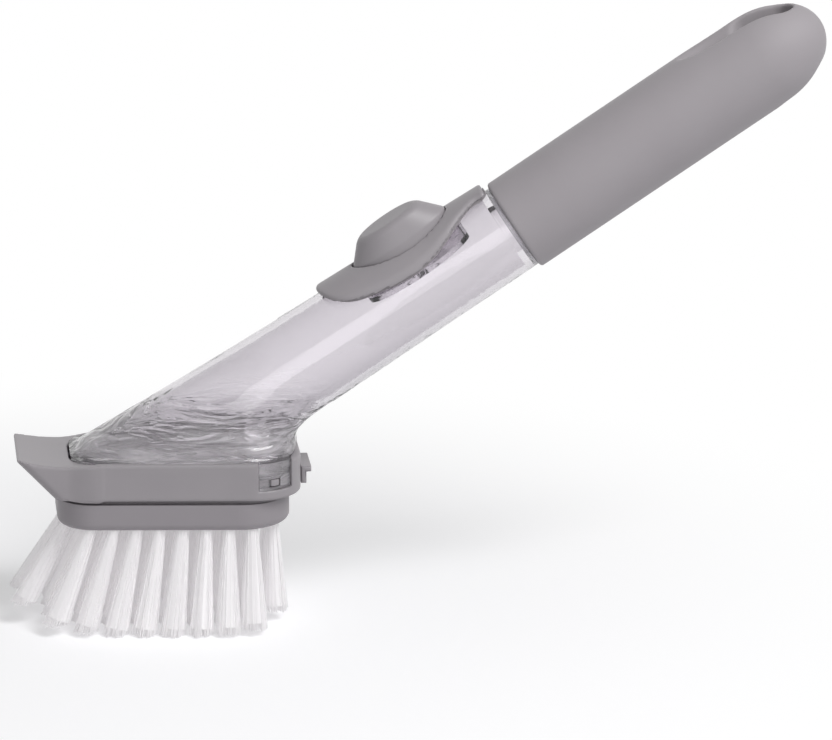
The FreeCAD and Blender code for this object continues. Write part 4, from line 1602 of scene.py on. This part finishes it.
@dataclass
class Studio:
    """White floor, soft light and a long-lens camera at the photograph's angle.

    Sizes are in millimetres, angles in degrees and light in watts.
    """

    azimuth: float = -6.0
    elevation: float = 15.5
    distance: float = 1600.0
    image: tuple[int, int] = (832, 740)
    pixel: float = 0.29
    origin_pixel: tuple[float, float] = (147.5, 610.3)
    sensor: float = 36.0
    sight: float = 50000.0
    floor_side: float = 6000.0
    fade: tuple[float, float] = (90.0, 260.0)
    floor_colour: str = "#e4e4e6"
    floor_roughness: float = 0.9
    floor_glow: float = 0.34
    ambient: float = 0.3
    lit_place: Point = (90.0, 0.0, 90.0)
    lamps: ClassVar[tuple[tuple[str, Point, float, float], ...]] = (
        ("key", (660.0, -620.0, 1080.0), 600.0, 11.0),
        ("fill", (-200.0, -1200.0, 250.0), 800.0, 2.5),
    )

    def back(self) -> Vector:
        """Unit vector from the object to the camera."""
        turn, rise = math.radians(self.azimuth), math.radians(self.elevation)
        return Vector((math.sin(turn) * math.cos(rise), -math.cos(turn) * math.cos(rise), math.sin(rise)))

    @staticmethod
    def aimed(name: str, data: ID, place: Vector, way: Vector) -> Object:
        """Puts a camera or a lamp at a place in metres, looking along a way.

        Args:
            name: Name of the object.
            data: The camera or lamp.
            place: Its place.
            way: Where it looks.

        Returns:
            The object.
        """
        thing = put(name, data)
        thing.location = place
        thing.rotation_mode = "QUATERNION"
        thing.rotation_quaternion = way.to_track_quat("-Z", "Y")
        return thing

    def build_camera(self) -> None:
        """Sets the camera so that the row frame's origin falls on its place in the photograph."""
        back = self.back()
        turn = math.radians(self.azimuth)
        right = Vector((math.cos(turn), math.sin(turn), 0.0))
        up = back.cross(right)
        aside = (self.image[0] / 2 - self.origin_pixel[0]) * self.pixel
        above = (self.origin_pixel[1] - self.image[1] / 2) * self.pixel
        data = bpy.data.cameras.new("camera")
        data.sensor_width = self.sensor
        data.lens = self.sensor * self.distance / (self.image[0] * self.pixel)
        data.clip_end = self.sight * MM
        place = (right * aside + up * above + back * self.distance) * MM
        bpy.context.scene.camera = self.aimed("camera", data, place, -back)

    @staticmethod
    def seen(wiring: Wiring) -> Node:
        """Tells rays that look at the background from rays that light the object.

        Args:
            wiring: Nodes of the world or the floor.

        Returns:
            Node that gives one for camera, glossy and transmission rays, else nought.
        """
        rays = wiring.add("ShaderNodeLightPath").outputs
        either = rays["Is Camera Ray"]
        for more in ("Is Glossy Ray", "Is Transmission Ray"):
            either = wiring.add("ShaderNodeMath", {0: either, 1: rays[more]}, operation="MAXIMUM")
        return either

    def build_world(self) -> None:
        """Lights the scene evenly and shows white behind it."""
        world = bpy.data.worlds.new("studio")
        world.use_nodes = True
        world.node_tree.nodes.clear()
        wiring = Wiring(world.node_tree)
        light, shown = (
            wiring.add("ShaderNodeBackground", {"Color": WHITE, "Strength": strength})
            for strength in (self.ambient, 1.0)
        )
        mix = wiring.add("ShaderNodeMixShader", {0: self.seen(wiring), 1: light, 2: shown})
        wiring.add("ShaderNodeOutputWorld", {"Surface": mix})
        bpy.context.scene.world = world

    def floor_material(self) -> Material:
        """Matte white floor that keeps the shadow and turns pure white far from the object.

        Returns:
            The material.
        """
        material = bpy.data.materials.new("white_floor")
        material.use_nodes = True
        nodes = material.node_tree.nodes
        wiring = Wiring(material.node_tree)
        matte = nodes["Principled BSDF"]
        looks = {"Base Color": linear(self.floor_colour), "Roughness": self.floor_roughness}
        wiring.feed(matte, looks | {"Specular IOR Level": 0.0})
        place = wiring.add("ShaderNodeTexCoord").outputs["Object"]
        far = wiring.add("ShaderNodeVectorMath", {0: place}, operation="LENGTH")
        start, end = self.fade
        fade = wiring.add(
            "ShaderNodeMapRange",
            {"Value": far, "From Min": start * MM, "From Max": end * MM},
            interpolation_type="SMOOTHSTEP",
        )
        seen = self.seen(wiring)
        share, lift = (
            wiring.add("ShaderNodeMath", {0: seen, 1: factor}, operation="MULTIPLY")
            for factor in (fade, self.floor_glow)
        )
        haze, glow = (
            wiring.add("ShaderNodeEmission", {"Color": WHITE, "Strength": strength})
            for strength in (lift, 1.0)
        )
        near = wiring.add("ShaderNodeAddShader", {0: matte, 1: haze})
        mix = wiring.add("ShaderNodeMixShader", {0: share, 1: near, 2: glow})
        wiring.feed(nodes["Material Output"], {"Surface": mix})
        return material

    def build_floor(self) -> None:
        """Lays the floor under the bristle tips."""
        half = self.floor_side / 2 * MM
        corners = np.array([(-half, -half, 0.0), (half, -half, 0.0), (half, half, 0.0), (-half, half, 0.0)])
        floor = new_piece("floor", corners, np.array([[0, 1, 2, 3]]), Shading.FLOWING)
        floor.data.materials.append(self.floor_material())

    def build_lamps(self) -> None:
        """Hangs the soft boxes: a key at the upper right in front and a low fill by the camera."""
        target = Vector(self.lit_place) * MM
        for name, place, side, watts in self.lamps:
            data = bpy.data.lights.new(name, "AREA")
            data.shape = "SQUARE"
            data.size = side * MM
            data.energy = watts
            self.aimed(name, data, Vector(place) * MM, target - Vector(place) * MM)

    def build(self) -> None:
        """Sets up camera, floor and light."""
        bpy.context.scene.view_settings.view_transform = "Standard"
        self.build_camera()
        self.build_floor()
        self.build_world()
        self.build_lamps()


def main() -> None:
    """Builds the studio and the wand's sub-assemblies in order."""
    logging.basicConfig(level=logging.INFO, format="%(name)s: %(message)s")
    Studio().build()
    head = Head()
    for assembly in (Grip(), PushButton(), head, BrushHead(head)):
        assembly.build()
        log.info("%s built", type(assembly).__name__)


if __name__ == "__main__":
    main()
